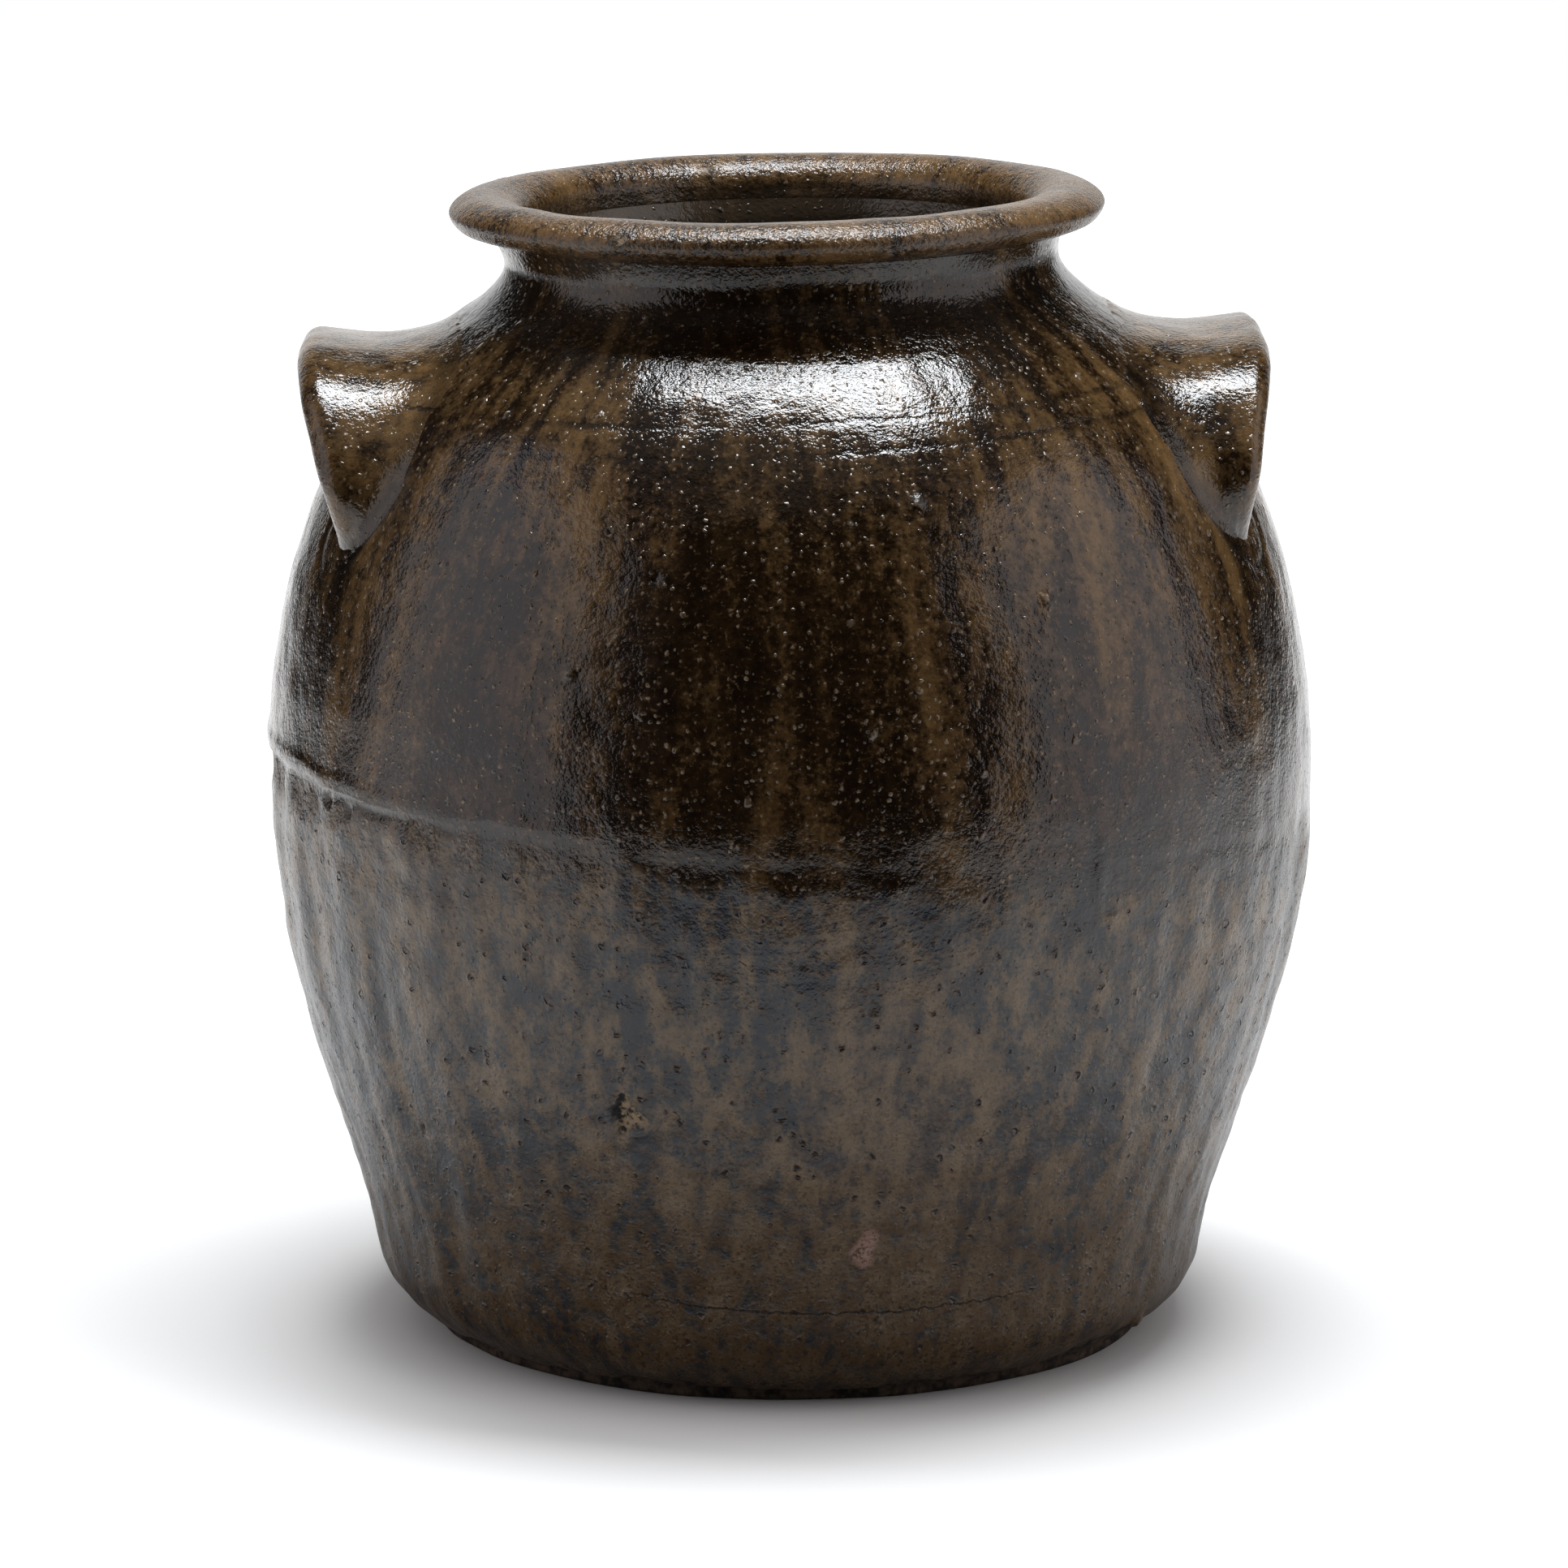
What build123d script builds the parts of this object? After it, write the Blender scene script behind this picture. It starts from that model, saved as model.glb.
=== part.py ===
from build123d import *
import os

# A two-handled stoneware storage jar, as the clay sections that a potter lutes together.
# The origin is the centre of the flat base, +Z is up, and the two handles lie along X.
# Lengths are in millimetres and angles in degrees.

# Foot and body: each rise is measured from the named level below it
foot_radius = 97.0
foot_band_height = 3.5
heel_overhang = 3.0
belly_radius = 139.8
belly_rise = 149.5
shoulder_rise = 117.0

# Thickness of the clay, and the width of the foot band outside the floor's spigot
wall = 8.5
floor_thickness = 12.0
floor_ledge_width = 9.0

# Luted joint at the belly: the upper section's edge is a ridge that seats in the lower one's groove
seam_drop = 1.5
seam_tilt = 2.9
seam_ridge_depth = 3.0
seam_ridge_width = 5.0

# Lines incised round the shoulder, measured down from the neck joint
incised_line_drops = (20.0, 13.0)
incised_line_tilts = (-2.6, -2.0)
incised_line_width = 1.8
incised_line_depth = 0.9

# Mouth, neck and rolled rim: widths are measured out from the mouth. The neck leans towards -X
# and the rim is tilted up towards +X.
mouth_radius = 66.1
waist_width = 7.3
rim_seat_width = 9.3
rim_crest_width = 9.9
rim_width = 20.6
neck_joint_width = 22.9
neck_rise = 23.5
rim_rise = 11.5
neck_lean = 3.3
rim_tilt = 1.0

# Arched lug handles: a thick strap bent into an arch and pressed on by its inner edge. Each one
# projects from the outline's radius at the lug line, and its crown is just below the neck joint.
lug_half_span = 59.5
lug_drop = 52.0
lug_thickness = 11.0
lug_edge_round = 4.5
lug_root_depth = 45.0
lug_skew = 1.5
lug_left_projection = 22.4
lug_left_crown_drop = 3.3
lug_left_lift = 5.2
lug_left_draw = 12.0
lug_right_projection = 18.5
lug_right_crown_drop = 1.0
lug_right_lift = 5.0
lug_right_draw = 15.0

# Length by which a cutting form runs past what it cuts
overrun = 20.0

# Where a turned surface begins and ends: at the back, clear of the lugs
seam_bearing = 90.0

# Outline of the body: shares of the rise, and of the way out from the foot or in from the belly
flank_shares = ((0.057, 0.211), (0.164, 0.327), (0.418, 0.603))
shoulder_shares = (0.513, 0.20)
lug_line_shares = (0.855, 0.63)

# Outline of the neck: shares of its rise, and of the way in from its joint to its waist
neck_foot_shares = (0.383, 0.737)
waist_share = 0.681

# Section of the rim's roll, outside and inside: shares of its rise above its seat, and of the way
# from its crest out to its edge or in to the mouth
rim_outer_shares = ((0.10, 0.42), (0.28, 0.86), (0.54, 1.0))
rim_inner_shares = ((0.80, 0.66), (0.44, 0.97))

# Outer line of a lug's arch, from its crown to its tip: shares of the half span, of the drop,
# of the strap's thickness, and of the distance by which its free edge is drawn in at the tip
lug_crown_shares = (0.0, 0.0, 1.0, 0.0)
lug_leg_shares = (
    (0.42, 0.03, 1.0, 0.04),
    (0.72, 0.15, 1.0, 0.13),
    (0.90, 0.36, 1.0, 0.24),
    (1.0, 0.64, 1.0, 0.40),
    (0.95, 0.84, 0.95, 0.70),
    (0.79, 1.0, 0.85, 1.0),
)

# Heights and radii that follow from the sizes above
floor_spigot_radius = foot_radius - floor_ledge_width
heel_radius = foot_radius + heel_overhang
belly_height = foot_band_height + belly_rise
neck_joint_height = belly_height + shoulder_rise
neck_joint_radius = mouth_radius + neck_joint_width
lug_line_radius = belly_radius - (belly_radius - neck_joint_radius) * lug_line_shares[1]
waist_radius = mouth_radius + waist_width
rim_seat_radius = mouth_radius + rim_seat_width
rim_seat_height = neck_joint_height + neck_rise
jar_height = rim_seat_height + rim_rise


def point(radius, height):
    """Return a point of the jar's half section."""
    return Vector(radius, 0, height)


def between(start, end, shares):
    """Return points on the way from one point to another: shares of the rise and of the reach."""
    way = end - start
    return [start + Vector(way.X * across, 0, way.Z * up) for up, across in shares]


def arc_pair(start, leaving, end, arriving):
    """Return two arcs that meet smoothly between two points and keep the direction at each."""
    chord = end - start
    along = chord.dot(leaving + arriving)
    turning = 2 * (1 - leaving.dot(arriving)) * chord.dot(chord)
    reach = chord.dot(chord) / (along + (along**2 + turning) ** 0.5)
    middle = (start + leaving * reach + end - arriving * reach) / 2
    first = TangentArc(start, middle, tangent=leaving)
    return [first, TangentArc(middle, end, tangent=first % 1)]


def smooth_outline(points):
    """Return tangent arcs through the points of an outline, two for each gap."""
    guide = Spline(*points)
    headings = [guide.tangent_at(guide.param_at_point(place)) for place in points]
    arcs = []
    for index in range(len(points) - 1):
        arcs += arc_pair(points[index], headings[index], points[index + 1], headings[index + 1])
    return arcs


def turned(*edges):
    """Revolve a closed half section round the jar's axis, with its seam at the back."""
    return Rot(0, 0, seam_bearing) * revolve(make_face(Wire(edges)), Axis.Z)


def inset_points(points, depth):
    """Move points of an outline square to it, into the clay."""
    guide = Spline(*points)
    moved = []
    for place in points:
        along = guide.tangent_at(guide.param_at_point(place))
        moved.append(place + Vector(-along.Z, 0, along.X) * depth)
    return moved


def body_points():
    """Return the points of the body's outside, from the heel to the neck joint."""
    heel = point(heel_radius, foot_band_height)
    belly = point(belly_radius, belly_height)
    joint = point(neck_joint_radius, neck_joint_height)
    return [
        heel,
        *between(heel, belly, flank_shares),
        belly,
        *between(belly, joint, (shoulder_shares, lug_line_shares)),
        joint,
    ]


def body_form():
    """Return the outside of the body as a filled solid, from the foot band to the neck joint."""
    outside = smooth_outline(body_points())
    bottom = point(0, foot_band_height)
    top = point(0, neck_joint_height)
    return turned(
        *outside,
        Line(outside[-1] @ 1, top),
        Line(top, bottom),
        Line(bottom, outside[0] @ 0),
    )


def wall_ring():
    """Return the whole wall, from the foot band to the joint below the neck.

    The wall has one thickness, measured square to its outside, and a cove round the floor.
    """
    outside = smooth_outline(body_points())
    cove_start = point(floor_spigot_radius, floor_thickness)
    wall_foot = point(floor_spigot_radius, foot_band_height)
    inside = smooth_outline([cove_start, *inset_points(body_points(), wall)[2:]])
    return turned(
        *outside,
        Line(outside[-1] @ 1, inside[-1] @ 1),
        *inside,
        Line(cove_start, wall_foot),
        Line(wall_foot, outside[0] @ 0),
    )


def above_seam():
    """Return the space above the belly joint, with the ridge that points down in mid wall."""
    ridge_radius = belly_radius - wall / 2
    reach = belly_radius + overrun
    profile = Polyline(
        point(0, 0),
        point(ridge_radius - seam_ridge_width / 2, 0),
        point(ridge_radius, -seam_ridge_depth),
        point(ridge_radius + seam_ridge_width / 2, 0),
        point(reach, 0),
        point(reach, jar_height),
        point(0, jar_height),
        close=True,
    )
    seam_height = belly_height - seam_drop
    return Pos(0, 0, seam_height) * Rot(0, seam_tilt, 0) * turned(*profile.edges())


def incised_line(drop, tilt):
    """Return the clay that a pointed tool takes out along one tilted line round the shoulder."""
    cut_bottom = smooth_outline(inset_points(body_points(), incised_line_depth))
    start = cut_bottom[0] @ 0
    end = cut_bottom[-1] @ 1
    clear_of_start = point(belly_radius + overrun, start.Z)
    clear_of_end = point(belly_radius + overrun, end.Z)
    outside = turned(
        *cut_bottom,
        Line(end, clear_of_end),
        Line(clear_of_end, clear_of_start),
        Line(clear_of_start, start),
    )
    level = Cylinder(belly_radius + overrun, incised_line_width)
    return outside & (Pos(0, 0, neck_joint_height - drop) * Rot(0, tilt, 0) * level)


def base_disc():
    """Return the floor: a disc whose edge is the foot band, with a spigot inside the wall."""
    seat = (Align.CENTER, Align.CENTER, Align.MIN)
    band = Cylinder(foot_radius, foot_band_height, align=seat)
    spigot = Cylinder(floor_spigot_radius, floor_thickness - foot_band_height, align=seat)
    return band + Pos(0, 0, foot_band_height) * spigot


def lower_wall():
    """Return the lower thrown section, with the groove of the belly joint in its top edge."""
    return wall_ring() - above_seam()


def upper_wall():
    """Return the upper thrown section, with the ridge of the belly joint and the incised lines."""
    section = wall_ring() & above_seam()
    for drop, tilt in zip(incised_line_drops, incised_line_tilts):
        section -= incised_line(drop, tilt)
    return section


def neck_level(height):
    """Return the level plane of one ring of the neck, which leans and tilts more as it rises."""
    rise = max(height - neck_joint_height, 0) / neck_rise
    return Pos(-neck_lean * rise, 0, height) * Rot(0, -rim_tilt * rise, 0)


def lofted_rings(places):
    """Return a filled solid through level rings of the neck."""
    back = Rot(0, 0, seam_bearing)
    return loft([neck_level(place.Z) * back * Circle(place.X) for place in places])


def neck_points():
    """Return the points of the neck's outside, from its joint to the seat of the rim."""
    joint = point(neck_joint_radius, neck_joint_height)
    neck_top = point(waist_radius, rim_seat_height)
    return [
        joint,
        *between(joint, neck_top, [neck_foot_shares]),
        point(waist_radius, neck_joint_height + waist_share * neck_rise),
        point(rim_seat_radius, rim_seat_height),
    ]


def neck_collar():
    """Return the neck, from its conical joint on the shoulder to the seat of the rim."""
    joint_inside = inset_points(body_points(), wall)[-1]
    inside = inset_points(neck_points(), wall)[1:-1]
    bore = lofted_rings([joint_inside, *inside, point(mouth_radius, rim_seat_height)])
    joint_outside = neck_points()[0]
    level_inside = point(0, joint_inside.Z)
    level_outside = point(0, joint_outside.Z)
    joint = turned(
        Line(joint_inside, joint_outside),
        Line(joint_outside, level_outside),
        Line(level_outside, level_inside),
        Line(level_inside, joint_inside),
    )
    return joint + lofted_rings(neck_points()) - bore


def rolled_rim():
    """Return the rim: a roll that overhangs the neck, turned on its own tilted axis."""
    crest_radius = mouth_radius + rim_crest_width
    seat_inside = point(mouth_radius, 0)
    seat_outside = point(rim_seat_radius, 0)
    overhang = rim_width - rim_crest_width
    outer = [point(crest_radius + overhang * out, rim_rise * up) for up, out in rim_outer_shares]
    inner = [point(crest_radius - rim_crest_width * back, rim_rise * up) for up, back in rim_inner_shares]
    roll = smooth_outline([seat_outside, *outer, point(crest_radius, rim_rise), *inner, seat_inside])
    return neck_level(rim_seat_height) * turned(*roll, Line(seat_inside, seat_outside))


def arch_stations(reach, lift, draw):
    """Return the places of a lug's sections along its arch, and the strap's thickness at each.

    The middle of the crown's outer line is at the origin of the side view. Each section stands
    square to the arch, with its own X outwards.
    """
    near_leg = [(-across, down, thick, back) for across, down, thick, back in lug_leg_shares]
    stations = [*reversed(near_leg), lug_crown_shares, *lug_leg_shares]
    arch = Spline(*[(0, lug_half_span * item[0], -lug_drop * item[1]) for item in stations])
    outwards = Vector(1, 0, 0).rotate(Axis.Y, -lift)
    places = []
    for across, down, thick, back in stations:
        outer = Vector(0, lug_half_span * across, -lug_drop * down)
        along = arch.tangent_at(arch.param_at_point(outer))
        thickness = lug_thickness * thick
        middle = outer + Vector(0, along.Z, -along.Y) * thickness / 2
        edge = middle + Vector(reach - draw * back, 0, 0)
        square = outwards - along * outwards.dot(along)
        places.append((Plane(origin=edge, x_dir=square, z_dir=along), thickness))
    return places


def strap_section(place, thickness):
    """Return one section of a lug's strap: flat sides and a rounded free edge at the origin."""
    side = thickness / 2
    top = Line((-lug_root_depth, side), (-lug_edge_round, side))
    free_edge = ThreePointArc((-lug_edge_round, side), (0, 0), (-lug_edge_round, -side))
    bottom = Line((-lug_edge_round, -side), (-lug_root_depth, -side))
    root = Line((-lug_root_depth, -side), (-lug_root_depth, side))
    return place * make_face(Wire([top, free_edge, bottom, root]))


def lug_handle(bearing, projection, crown_drop, lift, draw):
    """Return one lug: a strap bent into an arch, cut to the outside of the jar.

    The strap runs out from inside the body. Its free edge is lifted above its root and drawn in
    towards the body along both legs, until the tips run into the body.
    """
    reach = lug_line_radius + projection
    strap = loft([strap_section(*station) for station in arch_stations(reach, lift, draw)])
    placed = Rot(0, 0, bearing) * Pos(0, 0, neck_joint_height - crown_drop) * strap
    return placed - (body_form() + lofted_rings(neck_points()))


def build():
    """Return every section of the jar by its node's name."""
    return {
        "base_disc": base_disc(),
        "lower_wall": lower_wall(),
        "upper_wall": upper_wall(),
        "neck_collar": neck_collar(),
        "rolled_rim": rolled_rim(),
        "lug_handle_left": lug_handle(
            180 + lug_skew,
            lug_left_projection,
            lug_left_crown_drop,
            lug_left_lift,
            lug_left_draw,
        ),
        "lug_handle_right": lug_handle(
            lug_skew,
            lug_right_projection,
            lug_right_crown_drop,
            lug_right_lift,
            lug_right_draw,
        ),
    }


os.makedirs("parts", exist_ok=True)
for node, section in build().items():
    export_step(section, f"parts/{node}.step")
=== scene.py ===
import logging
import math
from collections.abc import Callable
from dataclasses import astuple, dataclass, field
from enum import Enum
from functools import reduce
from operator import add, mul

import bpy
import numpy as np
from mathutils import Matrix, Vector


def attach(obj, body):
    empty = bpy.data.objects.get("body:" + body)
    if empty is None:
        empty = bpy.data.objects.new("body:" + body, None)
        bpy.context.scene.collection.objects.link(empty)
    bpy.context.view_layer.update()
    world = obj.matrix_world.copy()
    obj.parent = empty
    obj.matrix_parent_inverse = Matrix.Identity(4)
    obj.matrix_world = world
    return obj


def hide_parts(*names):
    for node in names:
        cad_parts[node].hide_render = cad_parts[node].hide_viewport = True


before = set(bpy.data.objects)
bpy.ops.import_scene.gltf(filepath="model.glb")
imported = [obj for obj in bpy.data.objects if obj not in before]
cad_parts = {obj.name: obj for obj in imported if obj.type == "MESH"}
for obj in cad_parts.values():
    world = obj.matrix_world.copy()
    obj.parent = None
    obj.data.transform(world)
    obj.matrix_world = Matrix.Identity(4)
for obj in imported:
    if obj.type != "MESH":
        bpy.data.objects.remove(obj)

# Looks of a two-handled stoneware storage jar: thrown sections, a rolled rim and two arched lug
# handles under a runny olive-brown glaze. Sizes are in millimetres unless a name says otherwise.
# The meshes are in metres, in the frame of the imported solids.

MM = 0.001
TURN = 2 * math.pi
BODY = "root"
GLAZED, UNGLAZED = "glazed_stoneware", "bare_stoneware"
Array = np.ndarray
Point = tuple[float, float]
Place = tuple[float, float, float]
Colour = tuple[float, float, float, float]
log = logging.getLogger("jar")


@dataclass(frozen=True)
class Ramp:
    """A smooth rise from 0 at low to 1 at high, or a fall where low is the larger."""

    low: float
    high: float

    def __call__(self, value: Array) -> Array:
        """Ease values: 3 t squared less 2 t cubed, where t is the share of the way from low to high."""
        t = np.clip((value - self.low) / (self.high - self.low), 0, 1)
        return t * t * (3 - 2 * t)

    def of(self, value: "Number", least: float = 0.0, most: float = 1.0) -> "Number":
        """Ease a number of a finish in the same way.

        Args:
            value: The number.
            least: Result at low.
            most: Result at high.

        Returns:
            The eased number.
        """
        ends = {"From Min": self.low, "From Max": self.high, "To Min": least, "To Max": most}
        inputs, settings = {"Value": value, **ends}, {"interpolation_type": "SMOOTHSTEP"}
        return value.tree.number("ShaderNodeMapRange", settings, inputs, "Result")


def hump(distance: Array, width: float) -> Array:
    """Fall off as a bell: e to the power of minus the square of distance over width."""
    return np.exp(-np.square(distance / width))


def turn_from(bearing: Array, middle: float) -> Array:
    """Give the turn from a middle bearing, the short way round, in radians."""
    return np.mod(bearing - middle + TURN / 2, TURN) - TURN / 2


def smooth_curve(points: Array, count: int) -> Array:
    """Carry a smooth curve through points: a natural cubic over the length of its chords.

    On each span the curve is the straight line plus a cubic whose second derivative runs evenly
    between the knots, and whose slopes agree at every knot.

    Args:
        points: Knots, one a row.
        count: Number of evenly spaced samples.

    Returns:
        Samples of the curve, one a row.
    """
    knots = np.asarray(points, float)
    chord = np.linalg.norm(np.diff(knots, axis=0), axis=1)
    place = np.concatenate([[0], np.cumsum(chord)])
    size = len(knots)
    system, load = np.eye(size), np.zeros_like(knots)
    inner = np.arange(1, size - 1)
    system[inner, inner - 1] = chord[:-1]
    system[inner, inner] = 2 * (chord[:-1] + chord[1:])
    system[inner, inner + 1] = chord[1:]
    load[1:-1] = 6 * np.diff(np.diff(knots, axis=0) / chord[:, None], axis=0)
    bend = np.linalg.solve(system, load)
    at = np.linspace(0, place[-1], count)
    span = np.clip(np.searchsorted(place, at, side="right") - 1, 0, size - 2)
    width = chord[span][:, None]
    after = (at - place[span])[:, None]
    before = width - after
    return (
        (bend[span] * before**3 + bend[span + 1] * after**3) / (6 * width)
        + (knots[span] / width - bend[span] * width / 6) * before
        + (knots[span + 1] / width - bend[span + 1] * width / 6) * after
    )


@dataclass(frozen=True)
class RandomSheet:
    """Smooth random relief on a sheet that closes on itself round the jar.

    Random heights stand on a lattice of cells. Between them the relief is the cubic B-spline mean
    of the four nearest heights each way, which has no corner anywhere.
    """

    seed: int
    across: int
    cell_height: float
    rows: int = 96
    gain: float = 1.9

    def __call__(self, bearing: Array, height: Array | float) -> Array:
        """Give the relief at places on the sheet.

        Args:
            bearing: Angle round the jar in radians.
            height: Height, or length along the section.

        Returns:
            Relief, mostly from -1 to 1.
        """
        lattice = np.random.default_rng(self.seed).uniform(-1, 1, (self.rows, self.across))
        column = np.mod(bearing / TURN, 1.0) * self.across
        row = np.asarray(height / self.cell_height)
        left, below = np.floor(column).astype(int), np.floor(row).astype(int)
        total = 0.0
        for step_up, up in enumerate(self.weights(row - below)):
            for step_on, on in enumerate(self.weights(column - left)):
                place = (below + step_up - 1) % self.rows, (left + step_on - 1) % self.across
                total = total + up * on * lattice[place]
        return total * self.gain

    @staticmethod
    def weights(part: Array) -> tuple[Array, ...]:
        """Give the four cubic B-spline weights at a part of the way across a cell."""
        middle = [(3 * side**3 - 6 * side**2 + 4) / 6 for side in (part, 1 - part)]
        return (1 - part) ** 3 / 6, *middle, part**3 / 6


@dataclass(frozen=True)
class Meridian:
    """A smooth half section of the jar, from its foot upwards, with its outward normals."""

    length: Array
    radius: Array
    height: Array
    normal_out: Array
    normal_up: Array

    @classmethod
    def through(cls, points: Array, count: int = 1600) -> "Meridian":
        """Make a half section through points of radius and height.

        Args:
            points: Knots, one a row.
            count: Number of samples kept.

        Returns:
            The half section. Its normal is its direction turned a quarter turn outwards.
        """
        line = smooth_curve(points, count)
        step = np.gradient(line, axis=0)
        step /= np.linalg.norm(step, axis=1)[:, None]
        length = np.concatenate([[0], np.cumsum(np.linalg.norm(np.diff(line, axis=0), axis=1))])
        return cls(length, line[:, 0], line[:, 1], step[:, 1], -step[:, 0])

    def at(self, length: Array) -> tuple[Array, Array, Array, Array]:
        """Give radius, height and the outward normal's two parts at lengths along the line."""
        parts = (self.radius, self.height, self.normal_out, self.normal_up)
        return tuple(np.interp(length, self.length, part) for part in parts)

    def length_at(self, height: Array) -> Array:
        """Give the length along the line at heights, for a line that only climbs."""
        return np.interp(height, self.height, self.length)

    def radius_at(self, height: Array) -> Array:
        """Give the radius at heights, for a line that only climbs."""
        return np.interp(height, self.height, self.radius)


@dataclass(frozen=True)
class BodyForm:
    """Named points on the outside of the thrown body, each a radius and a height."""

    foot: Point = (100.0, 3.5)
    heel_turn: Point = (108.4, 12.0)
    heel: Point = (113.0, 28.0)
    flank: Point = (124.0, 66.0)
    belly: Point = (139.8, 153.0)
    shoulder: Point = (129.6, 213.0)
    lug_line: Point = (107.8, 253.0)
    neck_joint: Point = (89.0, 270.0)

    def points(self) -> Array:
        """Give the points from the foot band up, one a row."""
        return np.array(astuple(self))


@dataclass(frozen=True)
class NeckForm:
    """Neck and rolled rim: their sections, and how they lean and tilt as they rise."""

    joint: Point = (89.0, 270.0)
    rings: tuple[Point, ...] = ((77.5, 279.0), (73.4, 286.0), (75.4, 293.5))
    bore: tuple[Point, ...] = ((71.0, 274.0), (64.9, 286.0), (66.1, 293.5))
    lean: float = 3.3
    tilt_degrees: float = 1.0
    rim_rise: float = 11.5
    crest_radius: float = 76.0
    rim_radius: float = 86.7
    mouth_radius: float = 66.1
    outer_shares: tuple[Point, ...] = ((0.10, 0.42), (0.28, 0.86), (0.54, 1.0), (0.82, 0.78))
    inner_shares: tuple[Point, ...] = ((0.80, 0.66), (0.44, 0.97))

    def section(self) -> Array:
        """Give the knots of the rim's roll, up its outside, over its crest and down to the mouth.

        Returns:
            Rows of radius and height.
        """
        seat, crest = self.rings[-1][1], self.crest_radius
        out, lip = self.rim_radius - crest, self.mouth_radius - crest
        outer = [(crest + out * away, seat + self.rim_rise * up) for up, away in self.outer_shares]
        inner = [(crest + lip * away, seat + self.rim_rise * up) for up, away in self.inner_shares]
        top, mouth = (crest, seat + self.rim_rise), (self.mouth_radius, seat)
        return np.array([self.rings[-1], *outer, top, *inner, mouth])

    def placed(self, places: Array) -> Array:
        """Lean and tilt points of the neck: each level moves to -X and turns about Y as it rises.

        Args:
            places: Upright points, with the last axis X, Y, Z.

        Returns:
            The points where they stand on the jar.
        """
        foot, seat = self.joint[1], self.rings[-1][1]
        level = np.clip(places[..., 2], foot, seat)
        rise = (level - foot) / (seat - foot)
        angle = rise * math.radians(self.tilt_degrees)
        over = places[..., 2] - level
        moved = places.copy()
        moved[..., 0] = places[..., 0] * np.cos(angle) - over * np.sin(angle) - self.lean * rise
        moved[..., 2] = level + places[..., 0] * np.sin(angle) + over * np.cos(angle)
        return moved


class Side(Enum):
    """Which side of the jar a lug is on."""

    LEFT = -1
    RIGHT = 1


@dataclass(frozen=True)
class LugForm:
    """One arched lug: a strap bent into an arch and pressed on by its inner edge."""

    side: Side
    reach: float
    crown_height: float
    lift_degrees: float
    draw: float
    edge_round: float
    draws: tuple[float, ...]
    skew_degrees: float = 1.5
    half_span: float = 59.5
    drop: float = 52.0
    thickness: float = 11.0
    shares: tuple[Place, ...] = (
        (0.0, 0.0, 1.0), (0.42, 0.03, 1.0), (0.72, 0.15, 1.0), (0.90, 0.36, 1.0),
        (1.0, 0.64, 0.94), (0.95, 0.84, 0.80), (0.79, 1.0, 0.58),
    )

    @property
    def bearing(self) -> float:
        """Angle of the lug's middle round the jar, in radians."""
        turned = 0.0 if self.side is Side.RIGHT else TURN / 2
        return turned + math.radians(self.skew_degrees)

    def stations(self, count: int) -> tuple[Array, Array, Array]:
        """Follow the arch's outer line from tip to tip.

        Args:
            count: Number of places along the arch.

        Returns:
            Rows of Y and Z in the lug's side view, the strap's thickness, and how far its free
            edge is drawn in.
        """
        half = np.column_stack([self.shares, self.draws])
        knots = np.concatenate([half[:0:-1] * (-1, 1, 1, 1), half])
        line = smooth_curve(knots * (self.half_span, -self.drop, self.thickness, self.draw), count)
        return line[:, :2], line[:, 2], line[:, 3]

    def turned(self, places: Array) -> Array:
        """Turn points from the lug's own frame, X outwards, to its place round the jar.

        Args:
            places: Points in the lug's own frame.

        Returns:
            The points on the jar.
        """
        cosine, sine = math.cos(self.bearing), math.sin(self.bearing)
        x, y = places[..., 0], places[..., 1]
        return np.stack([x * cosine - y * sine, x * sine + y * cosine, places[..., 2]], axis=-1)


class Flaw(Enum):
    """Kinds of small accident in the clay or glaze."""

    POP_OUT = "pop_out"
    PIT = "pit"
    GRIT = "grit"
    SCAR = "scar"
    DRIP = "drip"


@dataclass(frozen=True)
class Mark:
    """One accident: its kind, bearing in degrees, height, half width, depth or rise, and how tall."""

    kind: Flaw
    bearing: float
    height: float
    size: float
    depth: float
    tall: float = 1.0


def marks_of(table: dict[Flaw, tuple[tuple[float, ...], ...]]) -> tuple[Mark, ...]:
    """List the marks of a table: rows of bearing, height, size, depth and tallness by kind."""
    return tuple(Mark(kind, *row) for kind, rows in table.items() for row in rows)


@dataclass(frozen=True)
class Swell:
    """Random relief: its sheet, depth, share left above the belly joint, and if it fades at the foot."""

    sheet: RandomSheet
    depth: float
    share: float = 1.0
    fades: bool = False


@dataclass(frozen=True)
class Lip:
    """A ridge or groove along the belly joint: its rise where the joint stands out and where it is
    broken, how far above the joint its middle lies, and its half width."""

    strong: float
    broken: float
    middle: float
    width: float


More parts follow.
